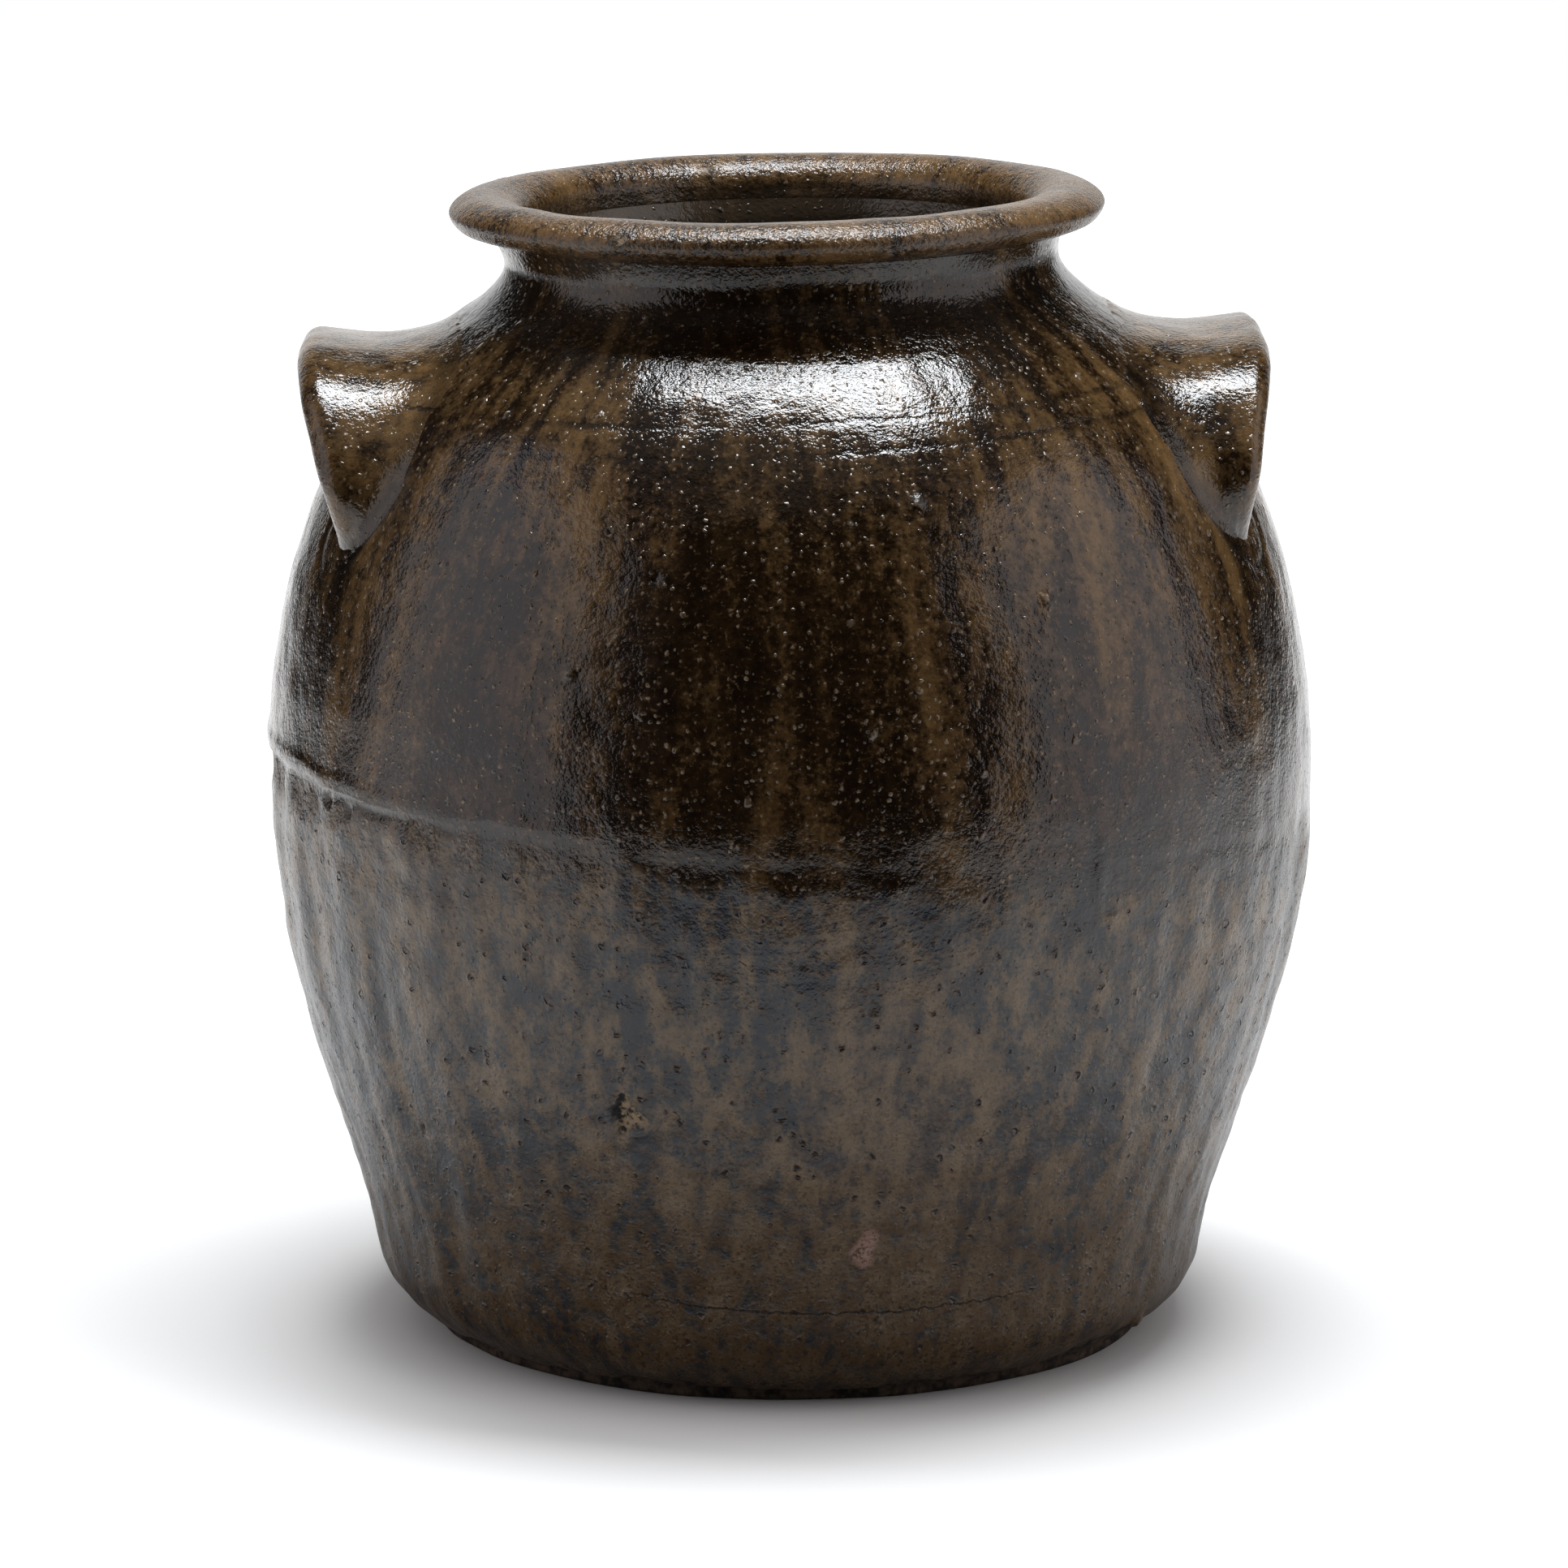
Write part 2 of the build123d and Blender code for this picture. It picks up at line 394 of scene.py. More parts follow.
@dataclass(frozen=True)
class ThrownSurface:
    """Relief that throwing, luting and the run of the glaze leave on the outside of the jar.

    A bead, patch or front of three numbers is its strength, its middle and its half width.
    """

    # Swells and upright runs of glaze
    swells: tuple[Swell, ...] = (
        Swell(RandomSheet(11, 5, 90.0), 0.45), Swell(RandomSheet(12, 7, 5.5), 0.14),
        Swell(RandomSheet(13, 70, 9.0), 0.10), Swell(RandomSheet(21, 180, 26.0), 0.36, 0.20, True),
        Swell(RandomSheet(15, 38, 60.0), 0.30, 0.0, True), Swell(RandomSheet(22, 250, 3.4, 160), 0.20, 0.45),
    )
    runs: RandomSheet = RandomSheet(14, 104, 46.0)
    broad_runs: RandomSheet = RandomSheet(15, 38, 60.0)
    seam_break: RandomSheet = RandomSheet(16, 42, 30.0)
    seam_drops: RandomSheet = RandomSheet(17, 120, 30.0)
    seam_wander: RandomSheet = RandomSheet(19, 84, 30.0)
    fray: RandomSheet = RandomSheet(20, 300, 2.6)
    foot_edge: RandomSheet = RandomSheet(18, 64, 20.0)
    run_depth: float = 0.80
    run_share: float = 0.14
    run_swing: float = 0.38
    belly_fade: Ramp = Ramp(-14.0, 6.0)
    foot_fade: Ramp = Ramp(4.0, 30.0)
    # Belly joint, the painted shadow under its ridge, and the glaze spilt below it
    seam_height: float = 151.5
    seam_slope: float = 0.0507
    settle: float = 0.35
    step: float = 0.80
    step_edge: Ramp = Ramp(-2.0, 1.0)
    step_share: float = 0.12
    belly_height: float = 152.0
    belly_spread: float = 45.0
    strong: Ramp = Ramp(0.20, 0.75)
    strong_swing: float = 0.25
    broken: Ramp = Ramp(-0.35, 0.75)
    broken_side: float = 0.60
    broken_least: float = 0.12
    wander: float = 0.9
    drop: float = 2.6
    drop_share: float = 0.35
    rag_swing: float = 0.35
    rag_row: float = 7.0
    lips: tuple[Lip, ...] = (Lip(1.35, 0.10, 1.6, 1.9), Lip(-0.6, -0.09, -1.2, 1.4))
    bead: tuple[float, float, float] = (0.30, -6.5, 2.6)
    gaps: Ramp = Ramp(-0.2, 0.5)
    gap_row: float = 11.0
    # Painted shadow under the joint's ridge: strength where the joint stands out and where it is broken,
    # middle below the joint, half width
    seam_shadow: Lip = Lip(1.1, 0.9, -1.6, 1.5)
    blot_row: float = 3.0
    blots: Ramp = Ramp(-0.25, 0.20)
    blot_patch: tuple[float, float, float] = (0.7, -2.65, 0.22)
    spill_depth: float = 0.9
    spill_drop: float = 6.0
    spill_width: float = 4.6
    # Incised lines, with painted shade along their grooves
    line_heights: Point = (250.0, 257.0)
    line_slopes: Point = (0.0454, 0.0349)
    line_wander: float = 0.35
    line_swing: float = 0.28
    line_depth: float = 0.06
    line_width: float = 0.85
    line_shade: Point = (0.25, 1.1)
    # Glaze below the joint, bare foot, and golden sides: bearing and spread in degrees, and share
    low: Ramp = Ramp(-9.5, -3.5)
    low_fray: Point = (3.0, 2.5)
    low_row: float = 5.0
    bare_height: float = 5.2
    bare_edge: Ramp = Ramp(-0.8, 0.7)
    bare_swing: Point = (2.3, 1.1)
    bare_depth: float = 0.35
    ragged_depth: float = 9.0
    warm: Ramp = Ramp(28.0, 76.0)
    gilt: Ramp = Ramp(26.0, 92.0)
    gilt_top: Ramp = Ramp(262.0, 270.0)
    gilt_front: tuple[float, float, float] = (0.6, -1.6, 0.25)
    gilt_side: Ramp = Ramp(4.0, 22.0)
    gold_sides: tuple[Place, ...] = (
        (-148.5, 5.0, 1.0), (-33.0, 8.0, 0.7), (-176.0, 7.0, 0.5), (28.0, 14.0, 0.8), (108.0, 17.0, 0.8),
    )
    flank_middle: float = 0.55
    flank_width: float = 0.35
    flank_top: Ramp = Ramp(92.0, 100.0)
    # Marks, as shares of their size and depth
    raggedness: float = 0.45
    core_width: float = 0.75
    ring_width: float = 0.45
    ring_rises: Point = (0.25, 0.35)
    dish_edge: Ramp = Ramp(0.7, 1.05)
    grain_edge: Ramp = Ramp(0.2, 0.9)
    grain_stain: float = 0.5
    faint: float = 0.7
    scar_edge: Ramp = Ramp(0.6, 1.1)
    marks: tuple[Mark, ...] = marks_of({
        Flaw.DRIP: ((-55.6, 143.0, 1.9, 0.75, 6.0),),
        Flaw.SCAR: ((-81.0, 45.9, 3.8, 0.35, 1.3),),
        Flaw.POP_OUT: ((-109.0, 82.1, 5.0, 1.9, 1.15), (-139.9, 68.9, 2.0, 0.8), (97.0, 96.0, 3.2, 1.1)),
        Flaw.PIT: (
            (-105.6, 220.5, 1.9, 0.7), (-58.3, 75.5, 1.8, 0.6), (-81.1, 113.7, 2.0, 0.9),
            (-98.8, 118.3, 1.8, 0.8), (-88.6, 125.5, 2.0, 0.9), (-149.4, 154.2, 2.6, 1.0),
            (-145.0, 152.8, 2.8, 1.1), (42.0, 118.0, 2.6, 1.0), (74.0, 187.0, 2.0, 0.8),
        ),
        Flaw.GRIT: (
            (-103.5, 100.7, 0.9, 0.5, 0.5), (-97.6, 81.4, 0.9, 0.5, 0.6), (-133.3, 255.7, 1.7, 0.9),
            (-117.9, 257.2, 1.6, 0.9), (-114.4, 196.6, 1.5, 0.7), (-74.4, 238.9, 2.4, 0.7),
            (-59.8, 213.7, 2.6, 0.6), (-81.3, 184.0, 1.8, 0.6), (-53.7, 132.1, 2.2, 0.9),
            (-30.1, 9.1, 3.0, 1.6), (121.0, 226.0, 2.2, 0.8), (150.0, 132.0, 2.0, 0.8),
        ),
    })

    def seam_at(self, x: Array) -> Array:
        """Give the height of the belly joint at places across the jar."""
        return self.seam_height - self.seam_slope * x

    def relief(self, bearing: Array, length: Array, place: Array) -> tuple[Array, dict[str, Array]]:
        """Work out how far the outside stands off its smooth line, and where the glaze differs.

        The relief is the sum of the swells and upright runs of glaze, most of them stronger below
        the belly joint, then the joint, the incised lines, the marks and the bare foot.

        Args:
            bearing: Angle round the jar in radians.
            length: Length along the section, up from the foot.
            place: Smooth points, the last axis X, Y, Z.

        Returns:
            Relief, and masks from 0 to 1 by name.
        """
        height = place[..., 2]
        above = height - self.seam_at(place[..., 0])
        under, grown = 1 - self.belly_fade(above), self.foot_fade(height)
        broad = self.broad_runs(bearing, length)
        runs = self.runs(bearing, length) * (1 - self.run_swing + self.run_swing * broad)
        total = self.run_depth * runs * (self.run_share + (1 - self.run_share) * under) * grown
        for swell in self.swells:
            share = (swell.share + (1 - swell.share) * under) * (grown if swell.fades else 1)
            total = total + swell.depth * swell.sheet(bearing, length) * share
        # Painted shade: the shadow under the joint's ridge and the shade along the incised grooves, kept as a
        # mask
        joint, crease_shade_and_pooling, spill = self.joint(bearing, height, above)
        lines, dark = self.lines(bearing, length, place)
        marks, stain, rough, blush = self.marked(bearing, place)
        edge = self.bare_swing[0] * self.foot_edge(bearing, 0.0)
        edge = edge + self.bare_swing[1] * self.runs(bearing, 0.0)
        bare = 1 - self.bare_edge(height - self.bare_height - edge)
        total = total + joint + lines + marks - self.bare_depth * bare
        ragged = self.ragged_depth * broad
        frayed = self.low_fray[0] * self.fray(bearing, height)
        frayed = frayed + self.low_fray[1] * self.seam_drops(bearing, self.low_row + height)
        share, middle, width = self.gilt_front
        gilt = self.gilt(above + ragged) * (1 - share * hump(np.cos(bearing - middle) - 1, width))
        gilt = gilt * (1 - self.gilt_top(height))
        for way, spread, share in self.gold_sides:
            streak = hump(turn_from(bearing, math.radians(way)), math.radians(spread))
            gilt = np.maximum(gilt, share * streak * self.gilt_side(above))
        flank = 1 - np.abs(np.abs(np.cos(bearing)) - self.flank_middle) / self.flank_width
        return total, {
            "flank": np.clip(flank, 0, 1) * (1 - self.flank_top(above)),
            "crease_shade_and_pooling": np.clip(crease_shade_and_pooling + dark, 0, 1), "low": 1 - self.low(above + frayed),
            "warm": 1 - self.warm(height + ragged), "gilt": gilt, "spill": spill, "bare": bare,
            "stain": stain, "rough": rough, "blush": blush,
        }

    def joint(self, bearing: Array, height: Array, above: Array) -> tuple[Array, Array, Array]:
        """Shape the belly joint: the body's step there, a wandering ledge and groove, and a bead.

        It stands out on the left, is broken elsewhere, and has spilt glaze below it.

        Args:
            bearing: Angle round the jar in radians.
            height: Heights of the points.
            above: Their heights above the joint.

        Returns:
            Relief, and masks of the painted shadow under the ridge and of spilt glaze.
        """
        breaks, drops = self.seam_break(bearing, 0.0), self.seam_drops(bearing, 0.0)
        strong = self.strong(self.strong_swing * breaks - np.cos(bearing))
        broken = self.broken(breaks - self.broken_side * np.cos(bearing) - self.broken_least)
        below = (1 - self.step_edge(above)) * (self.step_share + (1 - self.step_share) * strong)
        belly = hump(height - self.belly_height, self.belly_spread)
        drop = self.drop * drops
        line = above + self.wander * self.seam_wander(bearing, 0.0) + self.drop_share * drop
        rag = 1 - self.rag_swing + self.rag_swing * self.seam_drops(bearing, self.rag_row)
        total = -(self.settle + self.step * below) * belly
        for lip in self.lips:
            ridge = (lip.strong * strong + lip.broken * broken) * rag
            total = total + ridge * hump(line - lip.middle, lip.width)
        rise, middle, width = self.bead
        total = total + rise * broken * hump(above - middle + drop, width)
        # Painted shadow under the ridge, strong where the joint stands out and in gaps where it is broken
        gaps, dark = self.gaps(self.seam_drops(bearing, self.gap_row)), self.seam_shadow
        crease_shade_and_pooling = np.maximum(dark.strong * strong * rag, dark.broken * broken * gaps)
        rise, middle, width = self.blot_patch
        blot = self.seam_wander(bearing, self.blot_row + height) + self.seam_drops(bearing, height)
        blot = blot + rise * hump(turn_from(bearing, middle), width)
        spill = strong * self.blots(blot) * hump(above + self.spill_drop, self.spill_width)
        return total - self.spill_depth * spill, crease_shade_and_pooling * hump(line - dark.middle, dark.width), spill

    def lines(self, bearing: Array, length: Array, place: Array) -> tuple[Array, Array]:
        """Cut the two incised lines, each a groove that wanders and whose depth varies.

        Args:
            bearing: Angle round the jar in radians.
            length: Length along the section.
            place: Smooth points.

        Returns:
            Relief, and a mask of painted shade along the grooves.
        """
        total = dark = 0.0
        for height, slope in zip(self.line_heights, self.line_slopes):
            off = place[..., 2] - height - slope * place[..., 0]
            off = off - self.line_wander * self.seam_break(bearing, length)
            depth = 1 - self.line_swing + self.line_swing * self.broad_runs(bearing, height)
            total = total - self.line_depth * depth * hump(off, self.line_width)
            # Painted shade along each groove, a little wider than it
            dark = dark + self.line_shade[0] * depth * hump(off, self.line_width * self.line_shade[1])
        return total, dark

    def marked(self, bearing: Array, place: Array) -> tuple[Array, Array, Array, Array]:
        """Add up the marks: a dish for a pop-out or pit, with a raised ring, and a grain for grit.

        Args:
            bearing: Angle round the jar in radians.
            place: Smooth points.

        Returns:
            Relief, and three masks: where pale clay is bare, where dark glaze pools, and where the
            glaze has a pinkish scar.
        """
        radius = np.hypot(place[..., 0], place[..., 1])
        ragged = 1 + self.raggedness * self.fray(bearing, place[..., 2])
        total, stain, rough, blush = (np.zeros(place.shape[:-1]) for _ in range(4))
        for mark in self.marks:
            across = radius * turn_from(bearing, math.radians(mark.bearing))
            away = np.hypot(across, (place[..., 2] - mark.height) / mark.tall) / ragged
            share = away / mark.size
            core, ring = hump(share, self.core_width), hump(share - 1, self.ring_width)
            match mark.kind:
                case Flaw.POP_OUT:
                    dish = 1 - self.dish_edge(share)
                    total += mark.depth * (self.ring_rises[0] * ring - dish)
                    stain = np.maximum(stain, dish)
                case Flaw.PIT:
                    total += mark.depth * (self.ring_rises[1] * ring - core)
                    rough = np.maximum(rough, core)
                case Flaw.GRIT:
                    total += mark.depth * self.faint * (1 - self.grain_edge(share))
                    stain = np.maximum(stain, self.faint * hump(share, self.grain_stain))
                case Flaw.DRIP:
                    total += mark.depth * core
                    rough = np.maximum(rough, self.faint * ring)
                case Flaw.SCAR:
                    total -= mark.depth * core
                    blush = np.maximum(blush, 1 - self.scar_edge(share))
        return total, stain, rough, blush


RUN = "run"
MASKS = (
    "crease_shade_and_pooling", "low", "bare", "stain", "rough", "worn", "inside", "warm", "gilt", "spill", "flank", "blush",
)


@dataclass
class Piece:
    """A finished mesh of the scene: its points, its faces, and what its finish reads."""

    name: str
    node: str
    slot: str
    places: Array
    quads: Array
    run: Array
    masks: dict[str, Array]
    fans: Array = field(default_factory=lambda: np.zeros((0, 3), int))
    crease_degrees: float = 55.0

    def mesh(self) -> bpy.types.Mesh:
        """Make the mesh in metres, with smooth faces but for sharp creases.

        Returns:
            The mesh.
        """
        mesh = bpy.data.meshes.new(self.name)
        points = self.places.reshape(-1, 3) * MM
        corners = np.concatenate([self.quads.ravel(), self.fans.ravel()])
        sides = np.concatenate([np.full(len(self.quads), 4), np.full(len(self.fans), 3)])
        mesh.vertices.add(len(points))
        mesh.vertices.foreach_set("co", points.astype(np.float32).ravel())
        mesh.loops.add(len(corners))
        mesh.loops.foreach_set("vertex_index", corners.astype(np.int32))
        mesh.polygons.add(len(sides))
        mesh.polygons.foreach_set("loop_start", (np.cumsum(sides) - sides).astype(np.int32))
        mesh.polygons.foreach_set("use_smooth", np.ones(len(sides), bool))
        mesh.update(calc_edges=True)
        mesh.set_sharp_from_angle(angle=math.radians(self.crease_degrees))
        return mesh

    def build(self, finish: bpy.types.Material) -> bpy.types.Object:
        """Make the object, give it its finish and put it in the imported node's stead.

        Args:
            finish: Material for the whole piece.

        Returns:
            The new object, riding on the jar's one body.
        """
        mesh = self.mesh()
        run = mesh.attributes.new(RUN, "FLOAT_VECTOR", "POINT")
        run.data.foreach_set("vector", (self.run.reshape(-1, 3) * MM).astype(np.float32).ravel())
        for mask in MASKS:
            values = self.masks.get(mask, np.zeros(len(mesh.vertices)))
            kept = mesh.attributes.new(mask, "FLOAT", "POINT")
            kept.data.foreach_set("value", np.asarray(values, np.float32).ravel())
        piece = bpy.data.objects.new(self.name, mesh)
        bpy.context.scene.collection.objects.link(piece)
        mesh.materials.append(finish)
        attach(piece, BODY)
        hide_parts(self.node)
        log.info("%s: %d corners, %d faces", self.name, len(mesh.vertices), len(mesh.polygons))
        return piece


def pole_faces(rows: int, columns: int) -> Array:
    """List the triangles that close a grid of rings at both ends.

    The pole below is the point after the grid, and the pole above the one after that.

    Args:
        rows: Rings of points.
        columns: Points in a ring.

    Returns:
        Rows of three corner numbers.
    """
    ring = np.arange(columns)
    after, pole, last = (ring + 1) % columns, np.full(columns, rows * columns), (rows - 1) * columns
    ends = [(after, ring, pole), (last + ring, last + after, pole + 1)]
    return np.concatenate([np.stack(end, axis=1) for end in ends])


def ring_faces(rows: int, columns: int, closed: bool) -> Array:
    """List the quads of a grid that closes round the jar, with corners in outward order.

    Args:
        rows: Rings of points.
        columns: Points in a ring.
        closed: Whether the last ring joins the first.

    Returns:
        Rows of four corner numbers.
    """
    lower = np.arange(rows if closed else rows - 1)[:, None]
    column = np.arange(columns)[None, :]
    low, high, after = lower * columns, (lower + 1) % rows * columns, (column + 1) % columns
    corners = (low + column, low + after, high + after, high + column)
    return np.stack(corners, axis=-1).reshape(-1, 4)


def ring_points(radius: Array, height: Array, bearing: Array) -> Array:
    """Turn radii and heights at bearings into points: X is radius times cosine, Y times sine."""
    return np.stack([radius * np.cos(bearing), radius * np.sin(bearing), height + 0 * bearing], axis=-1)


def walled(name: str, node: str, outer: tuple[Array, Array, dict], inner: tuple[Array, Array]) -> Piece:
    """Close a wall section from its outside rings, going up, and its inside rings, coming down.

    Args:
        name: Name of the piece.
        node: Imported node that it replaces.
        outer: Points of the outside, from the lowest ring up, their flat run coordinates and masks.
        inner: Points of the inside, from the lowest ring up, and their flat run coordinates.

    Returns:
        The piece.
    """
    blank = np.zeros(inner[0].shape[:2])
    full = {key: np.concatenate([value, blank]) for key, value in outer[2].items()}
    full["inside"] = np.concatenate([np.zeros(outer[0].shape[:2]), blank + 1])
    points, run = (np.concatenate([out, within[::-1]]) for out, within in zip(outer, inner))
    return Piece(name, node, GLAZED, points, ring_faces(*points.shape[:2], closed=True), run, full)


@dataclass
class JarBody:
    """The thrown body: floor disc, lower and upper wall, and what joins them."""

    surface: ThrownSurface
    lugs: tuple["LugHandle", ...]
    columns: int = 700
    wall: float = 8.5
    foot_radius: float = 97.0
    band_height: float = 3.5
    floor_height: float = 12.0
    spigot_radius: float = 88.0
    run_radius: float = 120.0
    outer_rows: int = 122
    inner_rows: int = 16
    inner_start: float = 26.0
    inner_knots: int = 14
    ring_depth: float = 0.5
    ring_fade: Ramp = Ramp(0.0, 12.0)
    widest: float = 139.75
    blunt: float = 0.12
    rings: RandomSheet = RandomSheet(31, 6, 8.0)
    pole_radius: float = 2.0
    dish: float = 0.9
    underside: tuple[Point, ...] = ((0.45, 0.8), (0.86, 0.5), (0.93, 0.0))
    arris: Point = (0.8, 0.9)
    floor_dips: tuple[Point, ...] = ((0.6, 0.5), (0.0, 0.8))
    floor_steps: tuple[int, ...] = (14, 12, 5, 4, 3, 5, 4, 5, 24, 30)
    floor_spans_below: int = 8
    band_swing: float = 0.5
    band_width: float = 3.0
    swirl_depth: float = 0.35
    swirl_pitch: float = 1.9
    outside: Meridian = field(init=False)
    inside: Meridian = field(init=False)

    def __post_init__(self) -> None:
        """Work out the outside line, and the inside line one wall in."""
        outline = BodyForm().points()
        self.outside = Meridian.through(outline)
        heights = np.linspace(self.inner_start, outline[-1, 1], self.inner_knots)
        radius, height, out, up = self.outside.at(self.outside.length_at(heights))
        inset = np.stack([radius - self.wall * out, height - self.wall * up], axis=1)
        self.inside = Meridian.through(np.concatenate([[(self.spigot_radius, self.floor_height)], inset]))

    @property
    def bearing(self) -> Array:
        """Bearings of the columns, in radians."""
        return np.linspace(0, TURN, self.columns, endpoint=False)[None, :]

    def run_of(self, length: Array) -> Array:
        """Lay the outside flat as a cylinder: X and Y on a fixed radius, Z the length climbed."""
        return ring_points(self.run_radius + 0 * length, length, self.bearing + 0 * length)

    def skin(self, low: Array, high: Array, rows: int) -> tuple[Array, Array, dict[str, Array]]:
        """Make the outside between two lengths along the section.

        A row's length is an even share of the way from low to high. Its point stands off the
        smooth line by the relief, along the line's normal. The relief is blunted so that nothing
        stands out past the widest radius.

        Args:
            low: Lowest length in each column.
            high: Highest length in each column.
            rows: Number of rings.

        Returns:
            Points, flat run coordinates and masks.
        """
        length = low + (high - low) * np.linspace(0, 1, rows)[:, None]
        radius, height, out, up = self.outside.at(length)
        place = ring_points(radius, height, self.bearing)
        relief, masks = self.surface.relief(self.bearing, length, place)
        # Painted shade, with glaze that pools, where each lug's flare meets the body; the same mask sinks a
        # small groove
        for lug in self.lugs:
            joint = lug.joint_mask(self.bearing, place)
            masks["crease_shade_and_pooling"] = np.maximum(masks["crease_shade_and_pooling"], joint)
            relief = relief - lug.joint_groove * joint
        room = (self.widest - radius) / out
        relief = room - self.blunt * np.logaddexp(0, (room - relief) / self.blunt)
        place = ring_points(radius + relief * out, height + relief * up, self.bearing)
        return place, self.run_of(length), masks

    def bore(self, low: Array, high: Array, rows: int) -> tuple[Array, Array]:
        """Make the inside between two lengths along its section, with its throwing rings.

        Args:
            low: Lowest length in each column.
            high: Highest length in each column.
            rows: Number of rings.

        Returns:
            Points and flat run coordinates, from the lowest ring up.
        """
        length = low + (high - low) * np.linspace(0, 1, rows)[:, None]
        radius, height, out, up = self.inside.at(length)
        ridge = self.ring_depth * self.rings(self.bearing, length) * self.ring_fade(length)
        place = ring_points(radius - ridge * out, height - ridge * up, self.bearing)
        return place, self.run_of(length)

    def section_piece(self, name: str, node: str, foot: Array, top: Array) -> Piece:
        """Make one closed wall section between two heights on the outside.

        Args:
            name: Name of the piece.
            node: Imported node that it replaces.
            foot: Height of its lower end in each column.
            top: Height of its upper end in each column.

        Returns:
            The piece.
        """
        outer = self.skin(self.outside.length_at(foot), self.outside.length_at(top), self.outer_rows)
        inner = self.bore(self.inside.length_at(foot), self.inside.length_at(top), self.inner_rows)
        return walled(name, node, outer, inner)

    def lower(self) -> Piece:
        """Make the lower wall, from the foot band to the tilted belly joint."""
        seam = self.seam_heights()
        return self.section_piece("lower_body", "lower_wall", 0 * seam + self.outside.height[0], seam)

    def upper(self) -> Piece:
        """Make the upper wall, from the tilted belly joint to the joint below the neck."""
        seam = self.seam_heights()
        return self.section_piece("upper_body", "upper_wall", seam, 0 * seam + self.outside.height[-1])

    def seam_heights(self) -> Array:
        """Give the height of the belly joint in each column, on the outside."""
        return self.surface.seam_at(self.outside.radius_at(self.surface.seam_height) * np.cos(self.bearing))

    def floor(self) -> Piece:
        """Make the floor disc, turned from the middle of its underside round to its top.

        Its underside is a shallow dish of bare clay, and its edge is the foot band, slightly
        uneven. The inside's spiral of the potter's finger is a sine of the radius and bearing.

        Returns:
            The piece.
        """
        band, spigot, top = self.foot_radius, self.spigot_radius, self.floor_height
        (middle, middle_dip), (_, pole_dip) = self.floor_dips
        knots = np.array([
            (self.pole_radius, self.dish), *((band * share, height) for share, height in self.underside),
            (band - self.arris[0], 0.0), (band, self.arris[1]), (band, self.band_height),
            (spigot, self.band_height), (spigot, top), (spigot * middle, top - middle_dip),
            (self.pole_radius, top - pole_dip),
        ])
        parts = [
            start + (end - start) * np.linspace(0, 1, count, endpoint=False)[:, None]
            for start, end, count in zip(knots, knots[1:], self.floor_steps)
        ]
        line = np.concatenate([*parts, knots[-1:]])
        radius, height = line[:, :1], line[:, 1:]
        uneven = self.band_swing * (self.surface.foot_edge(self.bearing, height) - 1)
        uneven = uneven * hump(radius - band, self.band_width)
        below = sum(self.floor_steps[:self.floor_spans_below])
        inner = (np.arange(len(line)) > below)[:, None] + np.zeros((1, self.columns))
        swirl = self.swirl_depth * (np.sin(radius / self.swirl_pitch + self.bearing) - 1)
        grid = ring_points(radius + uneven, height + swirl * inner * self.ring_fade(radius), self.bearing)
        poles = np.array([(0.0, 0.0, knots[0, 1]), (0.0, 0.0, knots[-1, 1])])
        points = np.concatenate([grid.reshape(-1, 3), poles])
        run = np.concatenate([self.run_of(radius).reshape(-1, 3), poles])
        masks = {"bare": np.append(1 - inner, [1, 0]), "inside": np.append(inner, [0, 1])}
        quads, fans = ring_faces(*grid.shape[:2], closed=False), pole_faces(*grid.shape[:2])
        return Piece("foot_clay", "base_disc", UNGLAZED, points, quads, run, masks, fans)


